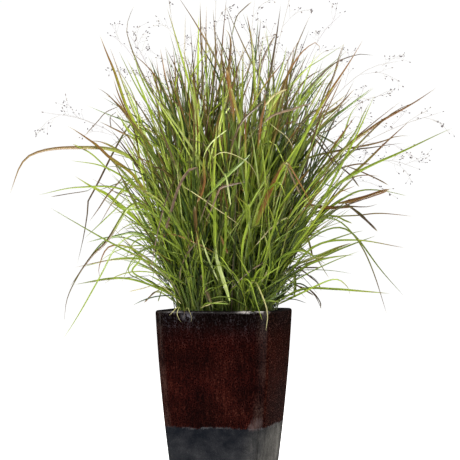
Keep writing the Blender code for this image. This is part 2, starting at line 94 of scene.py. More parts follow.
def addNode(tree, kind, **settings):  # a shader node; settings that name a socket fill it or link to it
    node = tree.nodes.new(kind)
    links = {}
    for key, value in settings.items():
        if key.startswith("to"):
            links[key[2:]] = value
        else:
            setattr(node, key, value)
    for key, value in links.items():
        index = int(key[1:]) if key.startswith("_") else key
        socket = node.inputs[index]
        if isinstance(value, bpy.types.NodeSocket):
            tree.links.new(value, socket)
        else:
            socket.default_value = value
    return node


def ramp(tree, factor, *stops):  # a colour ramp: each stop is (place, colour)
    node = tree.nodes.new("ShaderNodeValToRGB")
    tree.links.new(factor, node.inputs[0])
    elements = node.color_ramp.elements
    while len(elements) < len(stops):
        elements.new(0.5)
    for element, (place, colour) in zip(elements, stops):
        element.position = place
        element.color = (*colour, 1) if len(colour) == 3 else colour
    return node.outputs["Color"]


def maths(tree, operation, first, second=0.0):
    return addNode(tree, "ShaderNodeMath", operation=operation, to_0=first, to_1=second).outputs[0]


def plus(tree, first, second):
    return maths(tree, "ADD", first, second)


def minus(tree, first, second):
    return maths(tree, "SUBTRACT", first, second)


def times(tree, first, *others):
    for other in others:
        first = maths(tree, "MULTIPLY", first, other)
    return first


def spanned(tree, value, least, span):  # value 0 to 1 becomes least to least + span
    made = maths(tree, "MULTIPLY_ADD", value, span)
    made.node.inputs[2].default_value = least
    return made


def swing(tree, pattern, size):  # a pattern's swing about its middle, at a size
    return times(tree, minus(tree, pattern, 0.5), size)


def blended(tree, patterns, shares):  # patterns added up, each with its share
    total = None
    for name, share in shares.items():
        one = times(tree, patterns[name], share)
        total = one if total is None else plus(tree, total, one)
    return total


def axesOf(tree, vector):
    return addNode(tree, "ShaderNodeSeparateXYZ", toVector=vector).outputs


def farFrom(tree, place, spot):
    node = addNode(tree, "ShaderNodeVectorMath", operation="DISTANCE", to_0=place, to_1=spot)
    return node.outputs["Value"]


def smoothMask(tree, value, low, high):  # 0 at low, 1 at high, smooth between
    node = addNode(tree, "ShaderNodeMapRange", interpolation_type="SMOOTHSTEP", toValue=value)
    node.inputs["From Min"].default_value = low
    node.inputs["From Max"].default_value = high
    return node.outputs[0]


def between(tree, factor, first, second):  # first at factor 0, second at factor 1
    node = addNode(tree, "ShaderNodeMix", data_type="FLOAT", to_0=factor, to_2=first, to_3=second)
    return node.outputs[0]


def mixColours(tree, factor, first, second, blend="MIX"):
    node = tree.nodes.new("ShaderNodeMix")
    node.data_type = "RGBA"
    node.blend_type = blend
    for index, value in ((0, factor), (6, first), (7, second)):
        if isinstance(value, bpy.types.NodeSocket):
            tree.links.new(value, node.inputs[index])
        elif index == 0:
            node.inputs[index].default_value = value
        else:
            node.inputs[index].default_value = (*value, 1)
    return node.outputs[2]


def noiseMask(tree, place, scale, detail=3.0, roughness=0.55, stretch=(1, 1, 1), offset=(0, 0, 0)):
    moved = addNode(tree, "ShaderNodeMapping", toVector=place, toScale=stretch, toLocation=offset)
    node = addNode(tree, "ShaderNodeTexNoise", toVector=moved.outputs[0], toScale=scale,
                   toDetail=detail, toRoughness=roughness)
    return node.outputs["Fac"]


def startMaterial(name):
    material = bpy.data.materials.new(name)
    material.use_nodes = True
    tree = material.node_tree
    shader = tree.nodes["Principled BSDF"]
    place = tree.nodes.new("ShaderNodeTexCoord").outputs["Object"]
    return material, tree, shader, place


def bumped(tree, shader, height, strength, distance):
    bump = addNode(tree, "ShaderNodeBump", toHeight=height, toStrength=strength, toDistance=distance)
    tree.links.new(bump.outputs["Normal"], shader.inputs["Normal"])


def finishWith(tree, shader, colour, rough):
    tree.links.new(colour, shader.inputs["Base Color"])
    tree.links.new(rough, shader.inputs["Roughness"])


def toneParts(tree):  # the values kept on the points: the parts of their colour, and its alpha
    tone = addNode(tree, "ShaderNodeAttribute", attribute_name="tone")
    parts = addNode(tree, "ShaderNodeSeparateColor", toColor=tone.outputs["Color"]).outputs
    return parts["Red"], parts["Green"], parts["Blue"], tone.outputs["Alpha"]


def byRay(tree, values):  # a strength for what the camera sees, for reflections and for the rest
    rays = tree.nodes.new("ShaderNodeLightPath")
    strength = between(tree, rays.outputs["Is Glossy Ray"], values["other"], values["gloss"])
    return between(tree, rays.outputs["Is Camera Ray"], strength, values["camera"])


# Camera, light and floor, as in a plain studio

cameraSettings = {
    "distance": 4.5,
    "round": math.radians(2),  # how far the camera stands to the right of the plan's own view
    "height": 0.69,
    "aimHeight": 0.760,
    "aimRight": 0.014,  # the picture's middle is a little right of the planter's axis
    "lens": 126,
    "sensor": 36,
}


def addCamera(settings):
    aim = toRight * settings["aimRight"] + Vector((0, 0, settings["aimHeight"]))
    side = toViewer * math.cos(settings["round"]) + toRight * math.sin(settings["round"])
    spot = side * settings["distance"] + toRight * settings["aimRight"]
    spot.z = settings["height"]
    data = bpy.data.cameras.new("camera")
    data.lens = settings["lens"]
    data.sensor_width = settings["sensor"]
    camera = bpy.data.objects.new("camera", data)
    camera.location = spot
    camera.rotation_euler = (aim - spot).to_track_quat("-Z", "Y").to_euler()
    bpy.context.scene.collection.objects.link(camera)
    bpy.context.scene.camera = camera


lightSettings = {
    "lamps": {  # place (right, toward, up), size across and upright, power
        "key": {"place": (-2.0, 2.4, 3.6), "size": (1.3, 1.3), "power": 360},
        "fill": {"place": (3.2, 1.6, 1.3), "size": (5.0, 2.6), "power": 95},
        "edge": {"place": (-3.6, 0.2, 1.2), "size": (0.35, 2.4), "power": 12},
        "back": {"place": (0.6, -3.0, 3.4), "size": (2.0, 2.0), "power": 110},
    },
    "world": {"camera": 1.02, "gloss": 0.025, "other": 0.21},
    "floorColour": (0.90, 0.90, 0.90),
    "floorInGlaze": (0.030, 0.030, 0.031),  # what shiny things see of it
    "floorGlow": {"camera": 0.88, "gloss": 0.0, "other": 0.05},
    "floorHalf": 16.0,
    "floorDrop": 0.0006,
    "aimHeight": 0.8,
}


def addStudio(settings):
    for name, values in settings["lamps"].items():
        data = bpy.data.lights.new(name, "AREA")
        data.shape = "RECTANGLE"
        data.size, data.size_y = values["size"]
        data.energy = values["power"]
        lamp = bpy.data.objects.new(name, data)
        right, toward, up = values["place"]
        lamp.location = toRight * right + toViewer * toward + Vector((0, 0, up))
        aim = Vector((0, 0, settings["aimHeight"])) - lamp.location
        lamp.rotation_euler = aim.to_track_quat("-Z", "Y").to_euler()
        bpy.context.scene.collection.objects.link(lamp)
    world = bpy.data.worlds.new("studio")
    world.use_nodes = True
    tree = world.node_tree
    background = tree.nodes["Background"]
    background.inputs["Color"].default_value = (1, 1, 1, 1)
    tree.links.new(byRay(tree, settings["world"]), background.inputs["Strength"])
    bpy.context.scene.world = world
    bpy.context.scene.view_settings.view_transform = "Standard"
    deselectAll()
    bpy.ops.mesh.primitive_plane_add(size=2 * settings["floorHalf"],
                                     location=(0, 0, -settings["floorDrop"]))
    floor = bpy.context.object
    floor.name = "floor"
    material, tree, shader, place = startMaterial("paleFloor")
    shader.inputs["Roughness"].default_value = 0.9
    shader.inputs["Emission Color"].default_value = (1, 1, 1, 1)
    rays = tree.nodes.new("ShaderNodeLightPath")
    colour = mixColours(tree, rays.outputs["Is Glossy Ray"], settings["floorColour"],
                        settings["floorInGlaze"])
    tree.links.new(colour, shader.inputs["Base Color"])
    tree.links.new(byRay(tree, settings["floorGlow"]), shader.inputs["Emission Strength"])
    floor.data.materials.append(material)


addCamera(cameraSettings)
addStudio(lightSettings)
print("studio ready")


# Planter: a cast pot with slightly bowed sides, a round lip and three drain holes

planterSettings = {
    "rimHalf": 0.163,  # from the axis to a face
    "footHalf": 0.116,
    "bow": 0.5,
    "corner": 0.0405,
    "cornerSteps": 10,
    "levels": 26,  # rings up the outside
    "wall": 0.016,
    "lipSteps": 6,
    "lipShare": 0.46,  # the lip's radius, against the wall
    "cavitySteps": 8,
    "floor": 0.020,
    "footBevel": 0.005,
    "drains": 3,
    "drainRadius": 0.008,
    "drainCircle": 0.045,
}


def outerHalf(z, settings):
    t = z / rimHeight
    straight = settings["footHalf"] + (settings["rimHalf"] - settings["footHalf"]) * t
    return straight + (settings["rimHalf"] - settings["footHalf"]) * settings["bow"] * t * (1 - t)


def applyModifier(item, kind, **settings):
    bpy.context.view_layer.objects.active = item
    modifier = item.modifiers.new(kind.lower(), kind)
    for key, value in settings.items():
        setattr(modifier, key, value)
    bpy.ops.object.modifier_apply(modifier=modifier.name)


def selectWhere(item, kind, test):  # in edit mode: selects the vertices, edges or faces that pass a test
    bpy.ops.mesh.select_all(action="DESELECT")
    bpy.ops.object.mode_set(mode="OBJECT")
    for part in getattr(item.data, kind):
        part.select = test(part)
    bpy.ops.object.mode_set(mode="EDIT")


def buildPlanter(settings):
    deselectAll()
    top = rimHeight
    bpy.ops.mesh.primitive_cube_add(size=1, location=(0, 0, top / 2))
    planter = bpy.context.object
    planter.name = "glazedPlanter"
    planter.scale = (2 * settings["rimHalf"], 2 * settings["rimHalf"], top)
    bpy.ops.object.transform_apply(location=True, rotation=False, scale=True)
    bpy.ops.object.mode_set(mode="EDIT")
    bpy.context.tool_settings.mesh_select_mode = (False, True, False)
    points = planter.data.vertices

    def upright(edge):
        a, b = (points[i].co for i in edge.vertices)
        return abs(a.z - b.z) > top / 2

    selectWhere(planter, "edges", upright)
    bpy.ops.mesh.bevel(offset=settings["corner"], segments=settings["cornerSteps"], affect="EDGES")
    for level in range(1, settings["levels"]):
        bpy.ops.mesh.select_all(action="SELECT")
        bpy.ops.mesh.bisect(plane_co=(0, 0, top * level / settings["levels"]), plane_no=(0, 0, 1))
    bpy.context.tool_settings.mesh_select_mode = (False, False, True)
    selectWhere(planter, "polygons", lambda face: face.normal.z > 0.9)
    bpy.ops.mesh.inset(thickness=settings["wall"])
    drop = (top - settings["floor"]) / settings["cavitySteps"]
    for step in range(settings["cavitySteps"]):
        bpy.ops.mesh.extrude_region_move(TRANSFORM_OT_translate={"value": (0, 0, -drop)})
    bpy.ops.object.mode_set(mode="OBJECT")
    for point in points:  # each ring takes the width of its height
        inner = max(abs(point.co.x), abs(point.co.y)) < settings["rimHalf"] - settings["wall"] / 2
        wide = outerHalf(point.co.z, settings)
        if inner:
            share = (wide - settings["wall"]) / (settings["rimHalf"] - settings["wall"])
        else:
            share = wide / settings["rimHalf"]
        point.co.x *= share
        point.co.y *= share
    bpy.ops.object.mode_set(mode="EDIT")
    bpy.context.tool_settings.mesh_select_mode = (False, True, False)

    def level(edge, z):
        return all(abs(points[i].co.z - z) < 1e-5 for i in edge.vertices)

    selectWhere(planter, "edges", lambda edge: level(edge, top))
    bpy.ops.mesh.bevel(offset=settings["wall"] * settings["lipShare"], segments=settings["lipSteps"],
                       affect="EDGES")
    selectWhere(planter, "edges", lambda edge: level(edge, 0))
    bpy.ops.mesh.bevel(offset=settings["footBevel"], segments=3, affect="EDGES")
    bpy.ops.object.mode_set(mode="OBJECT")
    for k in range(settings["drains"]):
        angle = math.radians(90 + 360 / settings["drains"] * k)
        out = settings["drainCircle"]
        spot = (out * math.cos(angle), out * math.sin(angle), settings["floor"] / 2)
        bpy.ops.mesh.primitive_cylinder_add(vertices=24, radius=settings["drainRadius"],
                                            depth=3 * settings["floor"], location=spot)
        drill = bpy.context.object
        applyModifier(planter, "BOOLEAN", operation="DIFFERENCE", object=drill)
        bpy.data.objects.remove(drill)
    deselectAll()
    planter.select_set(True)
    bpy.context.view_layer.objects.active = planter
    bpy.ops.object.shade_smooth_by_angle(angle=math.radians(40))
    return planter


planter = buildPlanter(planterSettings)
print("planter", len(planter.data.polygons), "faces")

glazeSettings = {
    "patterns": {  # fineness, detail, roughness, stretch, offset
        "grain": (480, 2.0, 0.6),
        "spots": (300, 2.0, 0.6, (1, 1, 0.75)),
        "streaks": (24, 3.0, 0.6, (5.0, 5.0, 0.9)),
        "clouds": (13, 2.0, 0.55, (1, 1, 1), (3, 1, 7)),
        "pools": (6.5, 2.0, 0.55, (1, 1, 1), (0.4, 0, 0.7)),
        "drawn": (150, 3.0, 0.7, (1.4, 1.4, 0.5)),
        "broad": (20, 4.0, 0.6, (2, 2, 0.8)),
        "clots": (28, 4.0, 0.6, (1, 1, 1.5), (2, 0, 4)),
        "waver": (22, 3.0),
        "wave": (13, 3.0, 0.6, (1, 1, 0.1)),
        "gaps": (55, 3.0, 0.7, (1, 1, 1), (5, 2, 0)),
        # breaks up both the mottled place and the lip's painted highlights
        "mottleAndGlint": (70, 4.0, 0.7, (1, 1, 1), (1, 8, 0)),
        "dents": (38, 2.0),
    },
    "mottle": {"grain": 0.36, "spots": 0.56, "streaks": 0.26, "clouds": 0.26},
    "slateMix": {"grain": 0.40, "clots": 0.60},
    "taupeMix": {"grain": 0.25, "drawn": 0.40, "broad": 0.35},
    "red": ((0.59, (0.0022, 0.0001, 0.0001)), (0.71, (0.0080, 0.0006, 0.0003)),
            (0.81, (0.0170, 0.0018, 0.0008)), (0.95, (0.052, 0.015, 0.009))),
    "poolEdges": (0.36, 0.64),
    "poolDepths": (0.70, 1.25),  # the red glaze's lightness where it is deep and where it is thin
    "blueBlack": ((0.58, (0.0003, 0.0002, 0.0002)), (0.74, (0.0018, 0.0011, 0.0009)),
                  (0.84, (0.011, 0.0105, 0.0125)), (0.95, (0.052, 0.054, 0.064))),
    "darkBand": (0.452, 0.522),  # heights between which the glaze goes blue-black under the rim
    "bandSwing": 0.10,
    "bandShare": 0.9,
    "sideFaces": (0.75, 0.97),  # how far a face has turned aside to be a side face
    # the side faces' speckle: real glaze speckle, painted lighter and redder there as painted light
    "litSideSpeckle": (0.080, 0.031, 0.020),
    "speckleEdges": (0.48, 0.72),
    "speckleShare": 0.62,
    "corners": (0.10, 0.45),  # how far it has turned to be a corner
    # painted sheen: a bluish-brown reflection painted on the rounded corners
    "paintedCornerSheen": (0.036, 0.020, 0.015),
    "sheenClouds": (0.25, 0.62),
    "sheenMottle": (0.62, 0.94),
    # the lower glaze: slate, lighter towards the foot, taupe round the near right corner; the lightening and
    # the taupe are a painted reflection of the pale floor
    "slate": ((0.34, (0.0040, 0.0050, 0.0072)), (0.50, (0.0120, 0.0126, 0.0148)),
              (0.62, (0.020, 0.0204, 0.0224)), (0.80, (0.046, 0.046, 0.047))),
    "taupe": ((0.34, (0.030, 0.028, 0.026)), (0.52, (0.115, 0.108, 0.096)), (0.70, (0.290, 0.272, 0.243))),
    "fade": {"below": 0.163, "rate": 2.0, "most": 0.06},  # the slate gets lighter towards the foot
    "lean": {"below": 0.203, "rate": 0.3},  # the taupe reaches further in towards the foot
    "round": {"from": -0.13, "rate": 0.5},  # and grows along the side face
    "paleSpread": (0.070, 0.270),
    "paleEnds": (0.15, 0.05),
    "paleTop": (0.218, 0.182),
    "paleShares": (0.70, 1.0),  # just under the boundary and further down
    "waverSize": 0.07,
    "boundary": 0.2215,  # height of the dipped glaze's edge
    "boundaryWave": 0.007,
    "boundaryRagged": 0.012,
    "boundarySoft": 0.0022,
    "line": (0.085, 0.085, 0.090),  # the pale broken line along the edge
    "lineWidth": 0.0016,
    "lineGaps": (0.44, 0.62),
    "lineGrows": (0.09, 0.13),
    "lineShares": (0.40, 0.85),
    "patch": (0.092, 0.064, 0.060),  # the mauve patch on the near right corner
    "patchAt": (((0.127, -0.134, 0.236), 0.023, 0.003), ((0.113, -0.139, 0.226), 0.015, 0.001)),
    "patchRagged": 0.028,
    "patchShare": 0.48,
    "grey": (0.105, 0.102, 0.115),  # a mottled place under the rim
    "greyAt": ((-0.060, -0.160, 0.530), 0.026, 0.008),
    "greyShare": 0.55,
    "lip": (0.5345, 0.5425),
    "lipRagged": 0.008,
    # painted highlights: pale glints painted on the lip in two places
    "paintedHighlight": (0.34, 0.31, 0.29),
    "mottleAndGlintEdges": (0.42, 0.60),
    "highlightAt": (((-0.088, -0.158, 0.536), 0.050, 0.35),  # place, reach, share
               ((0.124, -0.158, 0.538), 0.062, 0.95)),
    "highlightElsewhere": 0.05,
    # painted shade: the lip's top, where it faces up, is darkened against the lamps' light; it is also dull
    "dullShadedTop": (0.0016, 0.0013, 0.0013),  # the lip's top
    "paintedShadeShare": 0.85,
    "roughness": (0.08, 0.30),  # least, and how much the spots add
    "highlightRoughness": 0.40,
    "dullRoughness": 0.85,
    "gloss": (0.13, 0.012, 0.01),  # on the front, on the side faces and on the lip's top
    "relief": {"grain": 0.12, "dents": 0.9, "step": -0.5},
    "bump": (0.45, 0.0011),  # strength and distance
}


def upperGlaze(tree, height, facing, patterns, settings):
    # red, deeper in pools, blue-black under the rim, its speckle painted lighter on the side faces, a painted
    # sheen on the corners
    mottle = blended(tree, patterns, settings["mottle"])
    pools = smoothMask(tree, patterns["pools"], *settings["poolEdges"])
    red = addNode(tree, "ShaderNodeHueSaturation", toColor=ramp(tree, mottle, *settings["red"]),
                  toValue=between(tree, pools, *settings["poolDepths"])).outputs[0]
    bandAt = plus(tree, height, swing(tree, patterns["spots"], settings["bandSwing"]))
    band = times(tree, smoothMask(tree, bandAt, *settings["darkBand"]), settings["bandShare"])
    upper = mixColours(tree, band, red, ramp(tree, mottle, *settings["blueBlack"]))
    sideways = maths(tree, "ABSOLUTE", facing["X"])
    aside = smoothMask(tree, sideways, *settings["sideFaces"])
    # the side faces get lighter, redder speckle: painted light for how the side faces catch the lamps
    speckle = smoothMask(tree, patterns["spots"], *settings["speckleEdges"])
    speckle = times(tree, speckle, aside, settings["speckleShare"])
    upper = mixColours(tree, speckle, upper, settings["litSideSpeckle"])
    # a painted sheen on the rounded corners, broken up by the clouds and the mottle
    corner = times(tree, smoothMask(tree, sideways, *settings["corners"]), minus(tree, 1.0, aside),
                   smoothMask(tree, patterns["clouds"], *settings["sheenClouds"]),
                   smoothMask(tree, mottle, *settings["sheenMottle"]))
    return mixColours(tree, corner, upper, settings["paintedCornerSheen"]), aside


def lowerGlaze(tree, axes, patterns, settings):  # slate, taupe round the near right corner
    height, behind = axes["Z"], axes["Y"]
    fade, lean, rounding = settings["fade"], settings["lean"], settings["round"]
    # painted reflection of the pale floor: the slate lightens towards the foot
    lighter = times(tree, minus(tree, fade["below"], height), fade["rate"])
    lighter = maths(tree, "MINIMUM", lighter, fade["most"])
    slate = ramp(tree, plus(tree, blended(tree, patterns, settings["slateMix"]), lighter), *settings["slate"])
    # the taupe is a painted reflection of the pale floor, round the near right corner
    taupe = ramp(tree, blended(tree, patterns, settings["taupeMix"]), *settings["taupe"])
    waver = swing(tree, patterns["waver"], settings["waverSize"])
    inward = times(tree, minus(tree, lean["below"], height), lean["rate"])
    along = maths(tree, "MAXIMUM", minus(tree, behind, rounding["from"]), 0.0)
    along = times(tree, along, rounding["rate"])
    pale = plus(tree, plus(tree, axes["X"], inward), plus(tree, waver, along))
    pale = times(tree, smoothMask(tree, pale, *settings["paleSpread"]),
                 smoothMask(tree, behind, *settings["paleEnds"]))
    low = smoothMask(tree, plus(tree, height, times(tree, waver, 0.6)), *settings["paleTop"])
    pale = times(tree, pale, between(tree, low, *settings["paleShares"]))
    return mixColours(tree, pale, slate, taupe)


def glazeMaterial(settings):
    material, tree, shader, place = startMaterial("twoGlazes")
    axes = axesOf(tree, place)
    height = axes["Z"]
    facing = axesOf(tree, tree.nodes.new("ShaderNodeNewGeometry").outputs["Normal"])
    patterns = {name: noiseMask(tree, place, *values) for name, values in settings["patterns"].items()}
    upper, aside = upperGlaze(tree, height, facing, patterns, settings)
    lower = lowerGlaze(tree, axes, patterns, settings)
    edgeAt = plus(tree, swing(tree, patterns["wave"], 2 * settings["boundaryWave"]), settings["boundary"])
    ragged = swing(tree, patterns["spots"], settings["boundaryRagged"])
    above = plus(tree, minus(tree, height, edgeAt), ragged)
    dipped = smoothMask(tree, above, settings["boundarySoft"], -settings["boundarySoft"])
    colour = mixColours(tree, dipped, upper, lower)
    line = smoothMask(tree, maths(tree, "ABSOLUTE", above), 2.0 * settings["lineWidth"],
                      0.4 * settings["lineWidth"])
    grows = smoothMask(tree, axes["X"], *settings["lineGrows"])
    line = times(tree, line, smoothMask(tree, patterns["gaps"], *settings["lineGaps"]),
                 between(tree, grows, *settings["lineShares"]))
    colour = mixColours(tree, line, colour, settings["line"])
    uneven = swing(tree, patterns["drawn"], settings["patchRagged"])
    patches = [smoothMask(tree, plus(tree, farFrom(tree, place, spot), uneven), outer, inner)
               for spot, outer, inner in settings["patchAt"]]
    patch = maths(tree, "MAXIMUM", *patches)
    colour = mixColours(tree, times(tree, patch, settings["patchShare"]), colour, settings["patch"])
    # the mottled place, and the lip: painted highlights in two places, painted shade on its top
    mottleAndGlint = smoothMask(tree, patterns["mottleAndGlint"], *settings["mottleAndGlintEdges"])
    spot, outer, inner = settings["greyAt"]
    grey = times(tree, smoothMask(tree, farFrom(tree, place, spot), outer, inner), settings["greyShare"])
    colour = mixColours(tree, times(tree, grey, mottleAndGlint), colour, settings["grey"])
    lip = plus(tree, height, times(tree, patterns["spots"], settings["lipRagged"]))
    lip = smoothMask(tree, lip, *settings["lip"])
    near = settings["highlightElsewhere"]
    # where the lip gets its painted highlights
    for spot, reach, share in settings["highlightAt"]:
        here = smoothMask(tree, farFrom(tree, place, spot), reach, reach * 0.35)
        near = maths(tree, "MAXIMUM", times(tree, here, share), near)
    paintedHighlight = times(tree, lip, mottleAndGlint, near)
    colour = mixColours(tree, paintedHighlight, colour, settings["paintedHighlight"])
    dullShadedTop = times(tree, lip, minus(tree, 1.0, near))
    # painted shade on the lip's upward faces
    paintedTopShade = times(tree, smoothMask(tree, facing["Z"], 0.2, 0.9), dullShadedTop, settings["paintedShadeShare"])
    colour = mixColours(tree, paintedTopShade, colour, settings["dullShadedTop"])
    rough = plus(tree, spanned(tree, patterns["spots"], *settings["roughness"]),
                 times(tree, paintedHighlight, settings["highlightRoughness"]))
    finishWith(tree, shader, colour, between(tree, dullShadedTop, rough, settings["dullRoughness"]))
    front, aslant, onTop = settings["gloss"]
    gloss = between(tree, dullShadedTop, between(tree, aside, front, aslant), onTop)
    tree.links.new(gloss, shader.inputs["Specular IOR Level"])
    parts = dict(patterns, step=dipped)
    bumped(tree, shader, blended(tree, parts, settings["relief"]), *settings["bump"])
    return material


planter.data.materials.append(glazeMaterial(glazeSettings))
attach(planter, "root")
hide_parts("planter")


# Many small things as one mesh: arrays of points, faces, and values kept on the points


class Heap:
    def __init__(self):
        self.points, self.faces, self.tones, self.uvs, self.slots = [], [], [], [], []
        self.count = 0

    def add(self, points, faces, tones, uvs, slot=0):
        self.points.append(points)
        self.faces += [tuple(i + self.count for i in face) for face in faces]
        self.tones.append(tones)
        self.uvs.append(uvs)
        self.slots += [slot] * len(faces)
        self.count += len(points)

    def build(self, name, materials, sharpAngle):
        mesh = bpy.data.meshes.new(name)
        mesh.from_pydata(np.concatenate(self.points).tolist(), [], self.faces)
        tone = mesh.color_attributes.new("tone", "FLOAT_COLOR", "POINT")
        tone.data.foreach_set("color", np.concatenate(self.tones).astype(np.float32).ravel())
        corners = np.zeros(len(mesh.loops), np.int32)
        mesh.loops.foreach_get("vertex_index", corners)
        layer = mesh.uv_layers.new(name="alongBlade")
        layer.data.foreach_set("uv", np.concatenate(self.uvs)[corners].astype(np.float32).ravel())
        for material in materials:
            mesh.materials.append(material)
        mesh.polygons.foreach_set("material_index", np.array(self.slots, np.int32))
        made = bpy.data.objects.new(name, mesh)
        bpy.context.scene.collection.objects.link(made)
        deselectAll()
        made.select_set(True)
        bpy.context.view_layer.objects.active = made
        bpy.ops.object.shade_smooth_by_angle(angle=sharpAngle)
        made.select_set(False)
        return made


def evenCurve(points, count):  # that many points, evenly spaced on a smooth curve through the given ones
    given = [np.asarray(p, float) for p in points]
    given = [2 * given[0] - given[1], *given, 2 * given[-1] - given[-2]]
    t = np.linspace(0, 1, 12, endpoint=False)[:, None]
    spans = []
    for a, b, c, d in zip(given, given[1:], given[2:], given[3:]):
        spans.append(0.5 * (2 * b + (c - a) * t + (2 * a - 5 * b + 4 * c - d) * t ** 2
                            + (3 * b - a - 3 * c + d) * t ** 3))
    fine = np.concatenate([*spans, given[-2][None]])
    along = np.concatenate([[0], np.cumsum(np.linalg.norm(np.diff(fine, axis=0), axis=1))])
    even = np.linspace(0, along[-1], count)
    return np.stack([np.interp(even, along, fine[:, k]) for k in range(3)], 1), along[-1]


def framesAlong(path, sideHint):  # tangent, side and upward vectors along a path, carried without spin
    tangents = np.gradient(path, axis=0)
    tangents /= np.linalg.norm(tangents, axis=1)[:, None] + 1e-12
    side = np.asarray(sideHint, float)
    sides = np.empty_like(path)
    for i, tangent in enumerate(tangents):
        side = side - side.dot(tangent) * tangent
        side = side / (np.linalg.norm(side) + 1e-12)
        sides[i] = side
    return tangents, sides, np.cross(sides, tangents)


def turned(sides, ups, angles):
    c, s = np.cos(angles)[:, None], np.sin(angles)[:, None]
    return sides * c + ups * s, ups * c - sides * s


def sweepFaces(rings, around):  # quads between rings, a foot cap and a point at the tip
    faces = [tuple(range(around))]
    for i in range(rings - 1):
        for k in range(around):
            a, b = i * around + k, i * around + (k + 1) % around
            faces.append((a, a + around, b + around, b))
    tip = rings * around
    last = tip - around
    faces += [(last + k, tip, last + (k + 1) % around) for k in range(around)]
    return faces


bladeShape = {
    "fold": 0.32,  # how far the edges stand above the midrib, as a share of the width
    "keel": 0.0005,  # how far the midrib stands out underneath
    "rings": 13,
    "widest": 0.50,  # share of the length where the blade starts to taper
    "taper": 1.9,
}
leadShape = dict(bladeShape, widest=0.55, taper=2.1)
looseShape = dict(bladeShape, widest=0.50, taper=1.7)
cutShape = dict(bladeShape, widest=0.80, taper=3.0)  # a blade that was cut or has frayed off


def bladeWidths(t, shape):
    grow = np.minimum(1, 0.34 + 3.0 * t)
    return grow * (1 - np.clip((t - shape["widest"]) / (1 - shape["widest"]), 0, 1) ** shape["taper"])


def addBlade(heap, path, width, twist, tones, shape, sideHint=None, thick=1.0):
    # a thin folded blade along a path; tones is one row of values for each ring and the tip
    count = len(path) - 1
    if sideHint is None:
        outward = path[-1] - path[0]
        sideHint = np.cross(outward, (0, 0, 1))
        if np.linalg.norm(sideHint) < 1e-6:
            sideHint = np.array(toRight)
    tangents, sides, ups = framesAlong(path, sideHint)
    t = np.linspace(0, 1, count + 1)
    sides, ups = turned(sides, ups, twist * t ** 1.2)
    half = (bladeWidths(t, shape) * width / 2)[:count, None]
    keel = shape["keel"] * thick
    body = path[:count]
    side, up = sides[:count], ups[:count]
    rise = 2 * half * shape["fold"]
    left = body + side * half + up * rise
    right = body - side * half + up * rise
    top = body + up * keel * 0.4
    under = body - up * keel
    points = np.stack([left, under, right, top], 1).reshape(-1, 3)
    points = np.concatenate([points, path[-1:]])
    u = np.tile([0.0, 0.5, 1.0, 0.5], count)
    uvs = np.stack([np.append(u, 0.5), np.append(np.repeat(t[:count], 4), 1.0)], 1)
    rows = np.concatenate([np.repeat(tones[:count], 4, axis=0), tones[count:count + 1]])
    heap.add(points, sweepFaces(count, 4), rows, uvs)


def addStem(heap, path, radii, tones, around=6, slot=0):
    count = len(path) - 1
    hint = np.cross(path[1] - path[0], (0.31, 0.95, 0.05))
    tangents, sides, ups = framesAlong(path, hint)
    angles = np.linspace(0, 2 * math.pi, around, endpoint=False)
    ring = (sides[:count, None] * np.cos(angles)[None, :, None]
            + ups[:count, None] * -np.sin(angles)[None, :, None])
    points = (path[:count, None] + ring * radii[:count, None, None]).reshape(-1, 3)
    points = np.concatenate([points, path[-1:]])
    t = np.linspace(0, 1, count + 1)
    u = np.tile(np.linspace(0, 1, around, endpoint=False), count)
    uvs = np.stack([np.append(u, 0.5), np.append(np.repeat(t[:count], around), 1.0)], 1)
    rows = np.concatenate([np.repeat(tones[:count], around, axis=0), tones[count:count + 1]])
    heap.add(points, sweepFaces(count, around), rows, uvs, slot)


# The shoots: each foot (right, toward), the leading blade's width and points, and its side blades


def sideBlade(collar, width, *path):
    return {"collar": collar, "width": width, "path": path}


def shoot(foot, width, *path, sides=()):
    return {"foot": foot, "width": width, "path": path, "sides": sides}


